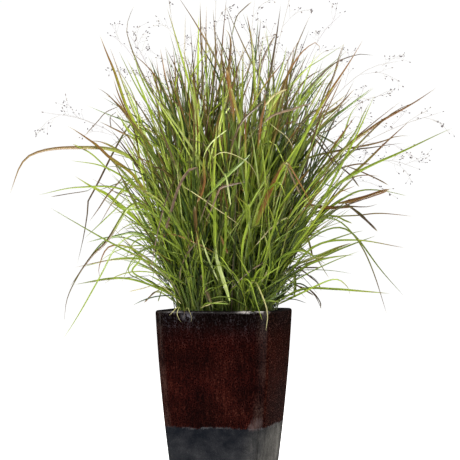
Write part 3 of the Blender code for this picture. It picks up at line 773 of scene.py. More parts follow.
shoots = (
    shoot((-88, 20), 14, (-140, 235, 25), (-215, 380, 30), (-300, 440, 25), (-400, 450, 15),
          (-500, 445, 0), (-568, 415, -10), (-608, 320, -15),
          sides=(sideBlade(190, 8, (-225, 320, 70), (-322, 389, 95), (-420, 409, 115)),)),
    shoot((-80, -30), 10, (-150, 165, -45), (-224, 305, -70), (-322, 417, -95), (-392, 479, -105),
          (-442, 512, -110),
          sides=(sideBlade(120, 8, (-238, 235, -60), (-300, 297, -60), (-417, 367, -55)),)),
    shoot((-66, 52), 11, (-112, 207, 75), (-168, 375, 110), (-230, 487, 140), (-300, 574, 165),
          (-339, 602, 175),
          sides=(sideBlade(170, 7, (-252, 318, 140), (-384, 333, 175), (-496, 311, 200)),)),
    shoot((-70, -66), 10, (-132, 249, -120), (-210, 431, -180), (-286, 594, -230), (-354, 770, -270),
          sides=(sideBlade(200, 9, (-175, 400, -125), (-235, 520, -95), (-268, 528, -70), (-311, 459, -50),
                           (-368, 340, -30), (-386, 315, -28), (-391, 258, -25), (-402, 190, -20),
                           (-417, 123, -15)),)),
    shoot((-46, 0), 10, (-50, 165, 0), (-84, 333, -20), (-140, 501, -45), (-210, 613, -70),
          (-260, 714, -90), (-286, 795, -100), (-280, 832, -105), (-263, 872, -110),
          sides=(sideBlade(130, 10, (-85, 380, 30), (-126, 515, 50), (-188, 641, 75), (-260, 714, 95)),)),
    shoot((-52, 80), 10, (-84, 249, 110), (-140, 431, 150), (-196, 543, 180), (-230, 599, 195),
          (-277, 697, 215),
          sides=(sideBlade(40, 8, (-199, 130, 150), (-300, 184, 175), (-400, 241, 190), (-462, 277, 200)),)),
    shoot((-38, -42), 9, (-60, 249, -75), (-98, 445, -130), (-132, 571, -175), (-168, 683, -220),
          (-182, 728, -240),
          sides=(sideBlade(230, 9, (-110, 460, -60), (-136, 620, -40), (-126, 720, -25)),)),
    shoot((-18, 38), 10, (-20, 193, 60), (-36, 361, 95), (-62, 501, 130), (-106, 669, 175),
          (-148, 815, 215),
          sides=(sideBlade(150, 10, (-70, 330, 150), (-110, 420, 250), (-130, 440, 360)),)),
    shoot((-24, -84), 10, (-30, 230, -120), (-42, 361, -150), (-59, 585, -210), (-66, 760, -260),
          (-67, 899, -300),
          sides=(sideBlade(200, 9, (-60, 420, -240), (-90, 560, -360), (-110, 590, -480)),)),
    shoot((14, 66), 10, (28, 361, 85), (20, 529, 70), (-8, 655, 50), (-70, 776, 20), (-132, 876, 0),
          sides=(sideBlade(260, 9, (60, 460, 160), (80, 560, 260), (90, 600, 350)),)),
    shoot((38, -66), 10, (70, 300, -110), (128, 529, -160), (115, 627, -170), (62, 731, -180),
          (-8, 882, -190),
          sides=(sideBlade(240, 10, (95, 430, -230), (120, 520, -340), (130, 500, -450)),)),
    shoot((4, -18), 9, (-4, 260, -30), (-18, 500, -60), (-14, 725, -95), (0, 892, -120),
          sides=(sideBlade(300, 9, (-40, 520, -10), (-25, 700, 25), (-32, 837, 40)),)),
    shoot((-98, 56), 12, (-150, 120, 90), (-185, 215, 110), (-222, 285, 125), (-258, 278, 135),
          (-314, 188, 150), (-358, 143, 160), (-414, 62, 170),
          sides=(sideBlade(70, 7, (-240, 160, 75), (-314, 174, 70), (-344, 120, 70), (-342, 80, 70)),)),
    shoot((-107, -10), 6, (-160, 100, -15), (-238, 180, -20), (-322, 199, -25), (-384, 140, -30),
          (-443, 39, -35), (-457, -45, -35),
          sides=(sideBlade(60, 8, (-215, 128, -60), (-300, 140, -90), (-420, 115, -110)),)),
    shoot((-102, 88), 8, (-130, 70, 110), (-180, 160, 140), (-238, 202, 160), (-288, 171, 175),
          (-328, 95, 190), (-384, -6, 205), (-431, -81, 215),
          sides=(sideBlade(30, 8, (-224, 78, 150), (-300, 88, 165), (-403, 70, 180)),)),
    shoot((-112, 30), 8, (-137, 34, 40), (-200, 72, 55), (-255, 104, 65), (-238, 130, 70),
          (-212, 178, 75), sides=(sideBlade(10, 7, (-190, 48, 5), (-227, 17, -5)),)),
    shoot((-84, -94), 9, (-140, 190, -140), (-200, 300, -175), (-252, 350, -200), (-322, 325, -225),
          (-381, 241, -245),
          sides=(sideBlade(120, 8, (-210, 190, -200), (-300, 215, -250), (-388, 186, -290)),)),
    shoot((46, 18), 11, (60, 250, 35), (84, 417, 50), (115, 585, 65), (140, 725, 80), (157, 840, 90),
          sides=(sideBlade(250, 9, (78, 501, 5), (104, 683, -20), (140, 764, -35)),)),
    shoot((56, -100), 8, (90, 300, -170), (150, 560, -240), (193, 697, -275), (241, 826, -310),
          sides=(sideBlade(190, 9, (120, 350, -260), (170, 430, -370), (200, 410, -480)),)),
    shoot((60, 56), 13, (80, 280, 80), (104, 445, 100), (148, 571, 120), (190, 664, 135),
          (232, 714, 150), (260, 722, 160), (262, 692, 165),
          sides=(sideBlade(170, 9, (110, 300, 190), (150, 340, 300), (170, 300, 400)),)),
    shoot((70, -28), 12, (104, 361, -70), (154, 501, -95), (204, 585, -110), (260, 652, -120),
          (316, 703, -130), (384, 727, -135), (424, 724, -140),
          sides=(sideBlade(250, 9, (170, 420, -20), (240, 540, 10), (290, 640, 30)),)),
    shoot((66, 94), 11, (110, 250, 130), (180, 390, 165), (260, 540, 200), (336, 655, 230),
          (375, 720, 245),
          sides=(sideBlade(200, 8, (180, 420, 80), (260, 543, 60), (305, 647, 50), (333, 739, 45)),)),
    shoot((92, 5), 12, (140, 151, 10), (224, 305, 20), (294, 403, 25), (350, 459, 30), (434, 521, 30),
          (518, 568, 30), (588, 614, 30),
          sides=(sideBlade(110, 9, (215, 330, -45), (330, 450, -75), (420, 528, -90), (498, 588, -100)),)),
    shoot((101, 42), 11, (140, 95, 55), (224, 235, 75), (294, 328, 90), (384, 386, 105),
          (484, 431, 115), (580, 476, 125), (622, 494, 130),
          sides=(sideBlade(60, 8, (230, 280, 140), (340, 420, 180), (448, 524, 205), (532, 563, 220)),)),
    shoot((97, -56), 11, (154, 123, -75), (238, 263, -100), (308, 342, -120), (384, 403, -135),
          (456, 473, -150), (530, 540, -165),
          sides=(sideBlade(80, 8, (235, 300, -170), (336, 440, -220), (434, 468, -250),
                           (521, 482, -275)),)),
    shoot((78, -78), 9, (110, 220, -110), (160, 370, -140), (210, 451, -160), (300, 552, -185),
          (367, 613, -200),
          sides=(sideBlade(150, 8, (180, 380, -70), (280, 518, -45), (372, 585, -35), (418, 620, -30)),)),
    shoot((82, 70), 9, (140, 150, 95), (252, 277, 130), (308, 375, 150), (361, 479, 170),
          (406, 580, 185),
          sides=(sideBlade(60, 8, (215, 200, 190), (290, 300, 270), (350, 330, 350)),)),
    shoot((110, -20), 11, (150, 110, -30), (210, 193, -35), (280, 272, -40), (364, 328, -40),
          (434, 333, -35), (512, 315, -30),
          sides=(sideBlade(70, 10, (240, 225, 10), (308, 277, 30), (392, 308, 40), (464, 334, 45)),
                 sideBlade(90, 9, (210, 240, -85), (308, 286, -115), (400, 288, -135), (436, 298, -140)))),
    shoot((108, 84), 6, (140, 80, 110), (182, 165, 130), (238, 235, 150), (298, 245, 165),
          (355, 190, 180), (395, 109, 190), (434, -14, 200),
          sides=(sideBlade(30, 9, (230, 165, 110), (342, 190, 105), (487, 170, 100)),)),
    shoot((105, -92), 8, (150, 100, -120), (220, 180, -145), (300, 228, -165), (364, 213, -180),
          (445, 109, -195), (512, 32, -205),
          sides=(sideBlade(50, 9, (224, 115, -150), (311, 160, -185), (434, 207, -225)),)),
    shoot((116, 18), 9, (150, 20, 24), (218, 56, 35), (302, 56, 45), (380, 50, 50), (458, 44, 55),
          sides=(sideBlade(8, 8, (210, 44, 90), (297, 83, 130), (333, 67, 145), (344, 40, 150)),)),
    shoot((115, 54), 8, (150, 60, 75), (200, 105, 100), (269, 137, 125), (353, 151, 150),
          sides=(sideBlade(30, 6, (200, 72, 60), (245, 46, 62), (269, 0, 62)),)),
    shoot((34, 104), 10, (90, 230, 160), (140, 350, 200), (162, 400, 215), (182, 380, 225),
          (216, 319, 245), (244, 263, 255),
          sides=(sideBlade(150, 9, (60, 300, 240), (70, 380, 340), (75, 380, 440)),)),
    shoot((24, 20), 9, (110, 330, 70), (168, 473, 105), (215, 508, 120), (272, 454, 140),
          (311, 389, 150), (314, 358, 152),
          sides=(sideBlade(220, 9, (60, 420, 100), (50, 580, 150), (40, 680, 180)),)),
    shoot((-42, 108), 10, (-60, 250, 150), (-72, 380, 175), (-98, 396, 200), (-137, 330, 225),
          (-165, 235, 245), (-190, 104, 260),
          sides=(sideBlade(120, 9, (-120, 230, 240), (-180, 300, 330), (-230, 290, 420)),)),
    shoot((-10, 112), 8, (0, 220, 170), (8, 335, 215), (-12, 340, 235), (-40, 285, 255), (-57, 232, 268),
          sides=(sideBlade(90, 9, (10, 190, 230), (15, 260, 340), (20, 240, 450)),)),
    shoot((56, 108), 8, (66, 40, 150), (84, 78, 178), (104, 45, 198), (120, -5, 208), (117, -52, 212),
          sides=(sideBlade(14, 8, (52, 78, 170), (72, 78, 196), (92, 20, 212), (108, -25, 216)),)),
    shoot((-56, -112), 10, (-80, 220, -200), (-120, 340, -300), (-170, 380, -410), (-220, 330, -500),
          sides=(sideBlade(120, 9, (-150, 240, -230), (-240, 330, -300), (-310, 370, -350)),)),
    shoot((-12, -116), 10, (-20, 260, -220), (-30, 430, -340), (-40, 500, -460), (-40, 480, -560),
          sides=(sideBlade(80, 8, (-40, 150, -260), (-60, 190, -380), (-80, 150, -480)),)),
    shoot((26, -112), 10, (60, 200, -210), (110, 300, -330), (150, 340, -450), (170, 300, -540),
          sides=(sideBlade(90, 9, (90, 240, -200), (150, 380, -270), (190, 480, -330)),)),
    shoot((88, -112), 9, (130, 160, -200), (190, 240, -310), (240, 260, -420), (270, 220, -500),
          sides=(sideBlade(70, 8, (140, 210, -170), (220, 340, -220), (290, 440, -260)),)),
    shoot((-98, -64), 9, (-150, 130, -130), (-220, 190, -230), (-280, 190, -330), (-320, 130, -410),
          sides=(sideBlade(60, 8, (-180, 170, -90), (-280, 270, -130), (-370, 320, -170)),)),
    shoot((-76, 118), 9, (-110, 120, 200), (-170, 170, 290), (-220, 150, 370), (-250, 80, 430),
          sides=(sideBlade(50, 8, (-110, 150, 170), (-180, 250, 240), (-240, 310, 310)),)),
    shoot((92, 106), 9, (130, 110, 190), (190, 160, 280), (240, 150, 360), (280, 90, 430),
          sides=(sideBlade(50, 8, (140, 160, 160), (210, 260, 220), (270, 330, 280)),)),
)

# Leaf colours by name: green tone, bronze share, bronze shade, dryness
tints = {
    "fresh": (0.62, 0.35, 0.25, 0.0),
    "green": (0.56, 0.35, 0.30, 0.0),
    "olive": (0.60, 0.80, 0.12, 0.0),
    "rust": (0.62, 1.30, 0.04, 0.0),
    "brown": (0.46, 1.30, 0.40, 0.0),
    "purple": (0.28, 1.50, 0.72, 0.0),
    "mauve": (0.40, 1.80, 0.90, 0.05),
    "straw": (0.90, 0.20, 0.20, 0.75),
    "teal": (0.42, 0.15, 0.78, 0.0),
    "pale": (0.92, 0.10, 0.85, 0.15),
    "lime": (0.73, 0.55, 0.16, 0.0),
    "grey": (0.60, 1.40, 0.95, 0.20),
    "bronze": (0.66, 1.15, 0.16, 0.0),
    "dark": (0.36, 0.90, 0.60, 0.0),
    "turned": (0.55, 2.00, 0.50, 0.0),
    "tan": (0.56, 2.10, 0.22, 0.13),
    "pink": (0.55, 1.60, 1.00, 0.35),
}
# the leading blade's and then the side blades' colours, for the blades that stand out
shootTints = {
    1: ("tan", "green"), 2: ("brown", "green"), 3: ("brown", "green"), 4: ("olive", "purple"),
    5: ("dark", "bronze"), 6: ("green", "green"), 7: ("brown", "brown"), 8: ("lime", "green"),
    9: ("olive", "brown"), 10: ("brown", "olive"), 11: ("brown", "green"), 12: ("rust", "brown"),
    13: ("turned", "rust"), 14: ("dark", "green"), 15: ("green", "green"), 16: ("fresh", "rust"),
    17: ("olive", "green"), 18: ("purple", "brown"), 19: ("purple", "brown"), 20: ("rust", "green"),
    21: ("purple", "green"), 22: ("rust", "brown"), 23: ("rust", "rust"), 24: ("green", "brown"),
    25: ("rust", "purple"), 26: ("olive", "green"), 27: ("green", "olive"), 28: ("green", "mauve", "brown"),
    29: ("dark", "olive"), 30: ("green", "fresh"), 31: ("lime", "lime"), 32: ("green", "purple"),
    33: ("rust", "green"), 34: ("purple", "green"), 35: ("mauve", "green"), 36: ("mauve", "green"),
    37: ("straw", "fresh"),
}

# Small dry blades and roots at the rim: the shoot they belong to, width, colour and points
wisps = (
    (13, 2.0, "straw", (-112, -6, 112), (-122, 9, 134), (-134, -2, 146), (-146, -14, 152)),
    (13, 1.6, "straw", (-112, -8, 112), (-118, 8, 138), (-124, -8, 150), (-118, -24, 152), (-112, -32, 154)),
    (13, 1.8, "brown", (-106, -8, 116), (-110, 7, 138), (-104, -6, 150), (-108, -22, 152)),
    (15, 1.6, "straw", (-104, -8, 118), (-98, 8, 138), (-90, -4, 150), (-84, -20, 154), (-86, -30, 156)),
    (37, 5.0, "straw", (14, -6, 112), (12, 14, 124), (4, 23, 134), (-28, 18, 140), (-62, 7, 144)),
)

# Leaves that lie across the others, as the picture shows them: width, colour, layer (1 at the front of the
# dense outline, 0 at its middle), then places across and down in the picture, from root to tip. A width
# with a minus has a cut end.
looseLeaves = (
    (11, "mauve", 1.20, (199, 178), (197, 168), (190, 169), (182, 179), (176, 192), (171, 209), (166, 226),
     (161, 250), (156, 270)),
    (3.6, "brown", 1.22, (216, 254), (204, 247), (190, 241), (178, 236), (167, 235), (158, 240), (153, 246)),
    (2.2, "straw", 1.23, (184, 187), (201, 198), (215, 208), (231, 219), (241, 227)),
    (6, "mauve", 1.23, (246, 182), (233, 185), (224, 187), (220, 190), (214, 205), (206, 222)),
    (8, "fresh", 1.20, (217, 262), (215, 238), (215, 207), (214, 180), (216, 150), (217, 122)),
    (9, "teal", 1.21, (250, 155), (243, 162), (231, 173), (219, 185), (204, 200)),
    (4.5, "pale", 1.23, (225, 174), (227, 180), (229, 193), (231, 206)),
    (2.4, "straw", 1.23, (214, 158), (219, 154), (226, 153), (238, 157), (250, 165), (258, 179), (258, 185)),
    (12, "rust", 1.18, (256, 226), (264, 205), (270, 191), (277, 175), (285, 163)),
    (5, "pink", 1.21, (284, 163), (288, 168), (292, 177), (298, 190), (304, 199), (310, 205), (312, 216)),
    (4.4, "straw", 1.22, (294, 222), (291, 218), (282, 221), (270, 230), (262, 239), (254, 248)),
    (6, "lime", 1.18, (296, 218), (300, 223), (304, 230), (309, 242), (313, 258)),
    (10, "pale", 1.20, (230, 301), (226, 288), (221, 272), (217, 258), (216, 243)),
    (4.5, "pale", 1.22, (202, 240), (204, 246), (208, 258), (213, 270), (218, 281)),
    (7, "fresh", 1.23, (212, 272), (218, 266), (226, 267), (233, 273), (239, 282), (243, 294), (247, 311)),
    (5, "grey", 1.22, (197, 243), (192, 248), (185, 258), (181, 268), (180, 283)),
    (3.2, "grey", 1.22, (232, 288), (248, 273), (260, 265), (271, 258), (280, 248)),
    (4, "straw", 1.22, (268, 270), (266, 275), (261, 284)),
    (8, "purple", 1.18, (213, 308), (210, 300), (206, 290), (201, 275)),
    (7, "rust", 1.21, (204, 158), (204, 168), (205, 181), (202, 194), (197, 203)),
    (5, "rust", 1.21, (221, 236), (223, 242), (228, 254)),
    (9, "brown", 1.18, (198, 250), (197, 232), (196, 221), (195, 206)),
    (3, "straw", 1.20, (158, 284), (164, 288), (172, 294), (181, 304)),
    (10, "fresh", 0.3, (152, 240), (142, 226), (134, 217), (121, 207), (107, 195), (91, 187), (74, 176)),
    (9, "olive", 0.4, (156, 212), (142, 187), (132, 174), (120, 165), (107, 156), (97, 146), (87, 139),
     (77, 132), (67, 126)),
    (4, "brown", 0.5, (126, 172), (120, 181), (107, 196), (99, 208), (89, 222)),
    (5, "green", 0.4, (134, 176), (128, 184), (119, 194), (112, 205)),
    (3.2, "green", 0.2, (128, 196), (119, 206), (103, 221), (84, 239)),
    (6, "teal", 0.3, (154, 242), (142, 235), (131, 233), (113, 237), (101, 239), (86, 243)),
    (3.6, "olive", 0.1, (158, 266), (142, 260), (115, 260), (96, 263), (74, 268)),
    (2.4, "purple", 0.2, (150, 276), (128, 278), (101, 281), (84, 284)),
    (2.6, "straw", 0.4, (162, 284), (152, 286), (142, 289), (129, 292)),
    (3.6, "olive", 0.5, (164, 288), (158, 291), (152, 295), (144, 303)),
    (3.2, "green", 0.6, (164, 286), (161, 293), (158, 302)),
    (5, "pale", 0.8, (170, 226), (165, 228), (155, 231), (144, 234)),
    (2.4, "purple", -0.1, (92, 187), (87, 191), (68, 194), (50, 197)),
    (8, "bronze", 0.3, (166, 180), (153, 153), (148, 143), (138, 128), (128, 115), (120, 107), (112, 99),
     (104, 94)),
    (7, "green", 0.3, (160, 166), (147, 150), (137, 139), (128, 130), (122, 121), (116, 113)),
    (6, "olive", 0.2, (162, 168), (148, 151), (137, 141), (122, 133), (112, 128), (98, 121)),
    (2.6, "purple", 0.3, (120, 106), (115, 108), (105, 113), (97, 122), (85, 135)),
    (2.6, "purple", 0.3, (116, 112), (110, 118), (111, 129)),
    (5, "brown", -0.2, (318, 112), (326, 90), (333, 78), (339, 57), (344, 44)),
    (7, "olive", 0.2, (300, 142), (319, 120), (336, 109), (347, 98), (355, 89)),
    (7, "teal", 0.1, (298, 158), (315, 136), (331, 120), (347, 108), (361, 97), (373, 88)),
    (5, "green", 0.3, (322, 172), (334, 150), (341, 140), (345, 131), (351, 114), (360, 103)),
    (5, "green", 0.1, (334, 168), (347, 145), (356, 131), (363, 115), (370, 102)),
    (6, "brown", 0.3, (290, 170), (310, 158), (331, 153), (351, 149), (372, 145), (386, 141), (397, 137),
     (410, 137)),
    (5, "purple", 0.6, (298, 128), (310, 136), (318, 143), (325, 152), (331, 160), (335, 170), (336, 181)),
    (6, "grey", 0.9, (258, 130), (270, 118), (281, 113), (293, 110), (304, 106), (316, 104)),
    (3, "brown", 0.3, (306, 142), (316, 135), (329, 131), (338, 124), (351, 114)),
    (6, "purple", 0.1, (342, 202), (352, 209), (360, 216), (367, 222), (377, 232)),
    (3.6, "olive", 0.0, (318, 220), (337, 217), (357, 216), (380, 214), (413, 217)),
    (5, "green", 0.3, (312, 214), (323, 216), (336, 217), (344, 221), (352, 224)),
    (4, "purple", 0.4, (292, 268), (304, 268), (320, 268)),
    (4, "purple", 0.4, (292, 268), (302, 271), (311, 278), (317, 283), (321, 291)),
    (3.2, "purple", 0.5, (298, 286), (309, 290), (315, 295), (320, 303), (320, 309)),
    (4, "brown", 0.6, (282, 274), (286, 278), (294, 284), (304, 290), (314, 296)),
    (8, "green", 0.6, (294, 296), (295, 283), (293, 268)),
    (4, "brown", 0.2, (334, 172), (343, 168), (357, 165), (370, 165)),
    (3.6, "brown", 0.1, (344, 166), (352, 169), (362, 173), (377, 180), (388, 186)),
    (4, "purple", 0.3, (330, 158), (341, 168), (350, 176), (359, 188)),
    (7, "lime", 0.3, (318, 216), (331, 201), (341, 191), (352, 180), (358, 175)),
    (4, "green", 0.2, (306, 250), (315, 246), (341, 237), (354, 233), (364, 231)),
    (7, "fresh", 0.3, (298, 248), (308, 236), (319, 223), (331, 215)),
    (8, "brown", 0.4, (229, 104), (229, 74), (230, 61), (231, 43), (229, 34), (225, 29)),
    (10, "rust", 0.7, (234, 122), (232, 100), (230, 87), (227, 70)),
    (4, "olive", 0.2, (286, 110), (291, 71), (293, 57), (294, 45)),
    (6, "purple", 1.18, (270, 96), (263, 102), (257, 108), (247, 117), (240, 126), (236, 136), (232, 147),
     (230, 160)),
    (5, "straw", 0.9, (264, 108), (268, 103), (272, 98), (279, 93), (287, 90)),
    (10, "green", 0.7, (262, 140), (268, 117), (272, 106), (282, 92)),
    (7, "rust", 0.9, (258, 150), (260, 133), (262, 118), (265, 105), (265, 93)),
    (3, "pale", 1.18, (204, 158), (206, 152), (212, 143), (220, 136), (228, 130)),
    (2.6, "straw", 0.9, (270, 124), (276, 129), (287, 138), (293, 148)),
    (7, "lime", 0.8, (242, 136), (240, 125), (237, 112), (231, 88)),
    (8, "olive", 0.3, (146, 150), (135, 124), (126, 106), (120, 89), (114, 71), (106, 52), (99, 34)),
    (5, "bronze", 0.2, (141, 144), (134, 127), (126, 112), (118, 94), (113, 78)),
    (5, "green", 0.3, (158, 140), (150, 112), (143, 94), (135, 76), (126, 58)),
    (5, "bronze", 0.4, (176, 130), (172, 104), (166, 80), (163, 64), (160, 48)),
    (3.6, "dark", 0.2, (284, 106), (292, 70), (296, 50), (304, 30), (311.5, 13)),
    (4.5, "brown", -0.2, (203, 90), (202, 60), (201, 41), (200.5, 20), (200, 1)),
    (10, "rust", 0.4, (296, 208), (306, 206), (317, 207), (330, 208), (343, 208), (353, 208)),
    (-11, "rust", 0.3, (338, 204), (346, 202.5), (355, 200.5), (365, 198), (377, 194), (389, 190)),
    (8, "lime", 0.5, (300, 264), (312, 259), (324, 254), (338, 248), (352, 243)),
    (5, "olive", 0.4, (296, 268), (312, 262), (330, 258), (351, 255)),
    (4, "olive", 0.2, (318, 200), (334, 188), (347, 180), (362, 176), (380, 177)),
    (4, "dark", 0.1, (352, 208), (362, 216), (370, 225), (376, 230)),
    (3, "dark", 0.0, (231, 40), (236.5, 18), (244, 9), (252, 2)),
    (3, "dark", 0.0, (254, 76), (256, 57), (259, 37), (261, 18)),
    (4, "brown", 0.1, (255, 82), (262, 61), (268, 48), (275, 36)),
    (4, "green", 0.2, (110, 172), (98, 160), (88, 152), (72, 144)),
    (4, "olive", 0.4, (138, 138), (128, 118), (120, 104), (112, 92)),
    (5, "green", 0.4, (146, 134), (136, 110), (128, 92), (122, 78)),
    (5, "olive", 0.3, (272, 122), (283, 92), (290, 70), (297, 50)),
    (4, "brown", 0.2, (280, 118), (291, 90), (301, 68), (309, 52)),
    (5, "green", 0.4, (266, 118), (276, 88), (283, 64), (287, 46)),
    (5, "olive", 0.3, (140, 168), (128, 156), (114, 148), (100, 142), (88, 141)),
)

# The clump's dense outline: height over the rim and half its width there, in millimetres
outline = ((-20, 130), (11, 142), (53, 156), (109, 172), (165, 190), (221, 208), (305, 246), (389, 278),
           (473, 300), (557, 308), (613, 300), (669, 280), (725, 244), (781, 194), (837, 134), (900, 50))
# Height, and how far right of the axis the mass stands there
outlineMiddle = ((0, 0), (200, -4), (400, 4), (540, 10), (640, 38), (800, 44))
outlineDepth = 0.86  # its depth, as a share of its width

grassSettings = {
    "seed": 11,
    "leadShare": 0.70,  # width of the leading and side blades, against their solids'
    "besideStems": (2, 3),  # stems that lean as the leading one does
    "fillStems": (6, 8),  # stems that fill the clump
    "thinPast": (50, 4),  # that many fewer for the feet to the right of that place
    "corners": 0.24,  # share of filling stems that reach the outline's upper corners
    "stubble": (12, 16),  # old stem stumps at each foot
    "footSpread": 0.012,
    "sideways": 0.22,  # how much filling stems turn to the clump's long direction
    "turnSpread": 18,  # degrees round the plan between a shoot's stems
    "widthShare": (0.55, 1.14),  # how far out an extra stem leans, against the leading one
    "heightShare": (0.66, 1.06),
    "tipHeights": (260, 905, 710),  # least, most and usual height of a filling stem's tip, in millimetres
    "tipBend": 38,
    "leavesPerStem": (3, 5),
    "basalLeaves": (4, 6),
    "stemBlade": (0.0042, 0.0080),
    "overshoot": 0.30,  # how far past the dense outline stems stray, as a share of its width
    "stemRadius": 0.0015,
    "collar": (0.36, 0.58),  # where the leading blade leaves the stem, as a share of its path
    "kinked": 0.07,
    "rimClear": 0.004,
    "boxClear": 0.006,
    "wall": (0.138, 0.176),  # the planter's wall at the rim, from the axis, with a little room
    "soilReach": 0.15,
    "footReach": 0.14,
    "fillWithin": 0.134,  # how far from the axis the feet of new stems may stand
    "besideWithin": 0.132,
    "stubbleSpread": 0.016,
    "stemRings": 12,
}

# How leaves stand: their share, length, width, degrees from the stem, droop, and straying past the outline
leafHabits = {
    "upright": {"share": 0.60, "length": (0.22, 0.48), "width": (0.0040, 0.0084), "angle": (6, 34),
                "droop": (0.0, 0.6), "overshoot": 0.24},
    "spreading": {"share": 0.28, "length": (0.20, 0.44), "width": (0.0038, 0.0080), "angle": (24, 62),
                  "droop": (0.2, 1.5), "overshoot": 0.45},
    "hanging": {"share": 0.12, "length": (0.14, 0.34), "width": (0.0036, 0.0070), "angle": (60, 110),
                "droop": (0.6, 2.0), "overshoot": 0.65},
    "basal": {"share": 0.0, "length": (0.15, 0.40), "width": (0.0042, 0.0082), "angle": (8, 60),
              "droop": (0.3, 2.4), "overshoot": 0.80},
}


def outlineHalf(up):
    heights, halves = zip(*outline)
    return np.interp(up, heights, halves, left=halves[0], right=1.0)


def outlineCentre(up):
    heights, places = zip(*outlineMiddle)
    return np.interp(up, heights, places)


def strayShare(points):  # how far out points are: 1 on the dense outline
    plan = inPlan(points)
    half = outlineHalf(plan[:, 1])
    middle = outlineCentre(plan[:, 1])
    return np.hypot((plan[:, 0] - middle) / half, plan[:, 2] / (half * outlineDepth))


def footOf(node):  # the middle of a shoot's lowest ring in the frame
    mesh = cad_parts[node].data
    points = np.array([v.co for v in mesh.vertices])
    inside = np.abs(points[:, :2]).max(1) < grassSettings["footReach"]
    low = points[inside & (points[:, 2] < soilTop + 0.0004)]
    return np.unique(low.round(6), axis=0).mean(0)


pictureSettings = {
    "scale": 2.8,  # millimetres to a pixel on the planter's axis
    "rimRow": 309,  # where the plan's heights start
    "axisColumn": 225,
    "away": 4500,  # the camera's distance and height in the plan, in millimetres
    "eyeUp": 150,
    "turn": 0.035,  # shift to the right for each millimetre towards the viewer
}


def seenAt(x, y, layer, settings):  # a place in the picture as a point of the plan, on a layer of the clump
    right = (x - settings["axisColumn"]) * settings["scale"]
    up = (settings["rimRow"] - y) * settings["scale"]
    half = outlineHalf(max(up, 60))
    across = (right - outlineCentre(up)) / half
    toward = layer * outlineDepth * half * math.sqrt(max(0.10, 1 - across ** 2))
    nearer = 1 - toward / settings["away"]
    eyeUp = settings["eyeUp"]
    return right * nearer + settings["turn"] * toward, eyeUp + (up - eyeUp) * nearer, toward


def nearestShoot(point):
    return min(range(len(shoots)), key=lambda k: math.hypot(shoots[k]["foot"][0] - 0.4 * point[0],
                                                            shoots[k]["foot"][1] - 0.5 * point[2]))


def clearOfRim(path):  # false where a path would pass through the planter's wall
    reach = np.maximum(np.abs(path[:, 0]), np.abs(path[:, 1]))
    low = path[:, 2] < rimHeight + grassSettings["rimClear"]
    inner, outer = grassSettings["wall"]
    return not np.any(low & (reach > inner) & (reach < outer))


def outsideBox(points):  # true for the points past the frame's own box
    room = grassSettings["boxClear"]
    low, high = np.array(cadBox[0]) + room, np.array(cadBox[1]) - room
    return np.any((points < low) | (points > high), axis=1)


def inSoil(path):
    reach = np.maximum(np.abs(path[:, 0]), np.abs(path[:, 1]))
    return np.any((path[1:, 2] < soilTop) & (reach[1:] < grassSettings["soilReach"]))


def placeOn(path, at):  # the point at a place along a path, and the way the path runs there
    low = min(int(at), len(path) - 2)
    way = path[low + 1] - path[low]
    return path[low] + way * (at - low), way / np.linalg.norm(way)


def footBeside(foot, rng, spread, within):  # a new foot near a shoot's own, clear of the planter's wall
    base = foot + (rng.gauss(0, spread), rng.gauss(0, spread), 0)
    base[:2] = np.clip(base[:2], -within, within)
    return base


def shiftTo(foot, right, toward):  # from a planned foot to where it stands in the frame
    planned = inFrame((right, 0, toward))
    return np.array((foot[0] - planned[0], foot[1] - planned[1], 0))


# for each ring of a blade: green tone, bronze share, the bronze's shade, dryness
def bladeTones(path, tint, dryTip, rng, early=0.0, paintedFootShade=0.24, turnsAt=(1.3, 3.4)):
    green, bronze, shade, dry = tint
    t = np.linspace(early, 1, len(path))
    up = np.clip((path[:, 2] - rimLevel) / 0.9, 0, 1)
    rows = np.empty((len(path), 4))
    # the green tone darkens towards the foot: painted shade for the dense base of the clump
    rows[:, 0] = np.clip(green - 0.06 + 0.16 * t - paintedFootShade * (1 - np.clip(up / 0.26, 0, 1)), 0, 1)
    rows[:, 1] = np.clip(bronze * (0.04 + 1.1 * t ** rng.uniform(*turnsAt)), 0, 1)
    rows[:, 2] = np.clip(shade + 0.30 * (t - 0.7), 0, 1)
    dryEnd = np.clip((t - (1 - dryTip)) / max(dryTip, 0.01), 0, 1)
    rows[:, 3] = np.clip(dryEnd * 0.7 + dry * (0.3 + t), 0, 0.9)
    return rows


def randomTones(path, rng):
    up = max(0.0, min(1.0, (path[-1, 2] - rimLevel) / 0.8))
    green = 0.02 + 0.88 * rng.betavariate(0.85, 0.9)
    bronze = rng.betavariate(0.9, 1.5) * (0.55 + 1.5 * up)
    dry = 0.6 if rng.random() < 0.02 else 0.0
    shade = rng.betavariate(0.9, 1.4) * (1.1 - 0.2 * up)
    return bladeTones(path, (green, bronze, shade, dry), rng.choice((0.02, 0.04, 0.07)), rng)


def stemTones(count, rng):
    t = np.linspace(0, 1, count)
    rows = np.empty((count, 4))
    rows[:, 0] = 0.16 + 0.26 * rng.random() + 0.24 * t
    rows[:, 1] = 0.45 * rng.random() * (1 - 0.6 * t)
    rows[:, 2] = 0.2 + 0.5 * rng.random()
    rows[:, 3] = 0.45 * max(0.0, rng.random() - 0.55) * (1 - t)
    return rows


def addCulm(heap, path, taper, joint, rng, settings):  # a stem, a little thicker at its joints
    radii = settings["stemRadius"] * np.linspace(*taper, len(path))
    radii[3:10:3] *= joint
    addStem(heap, path, radii, stemTones(len(path), rng))


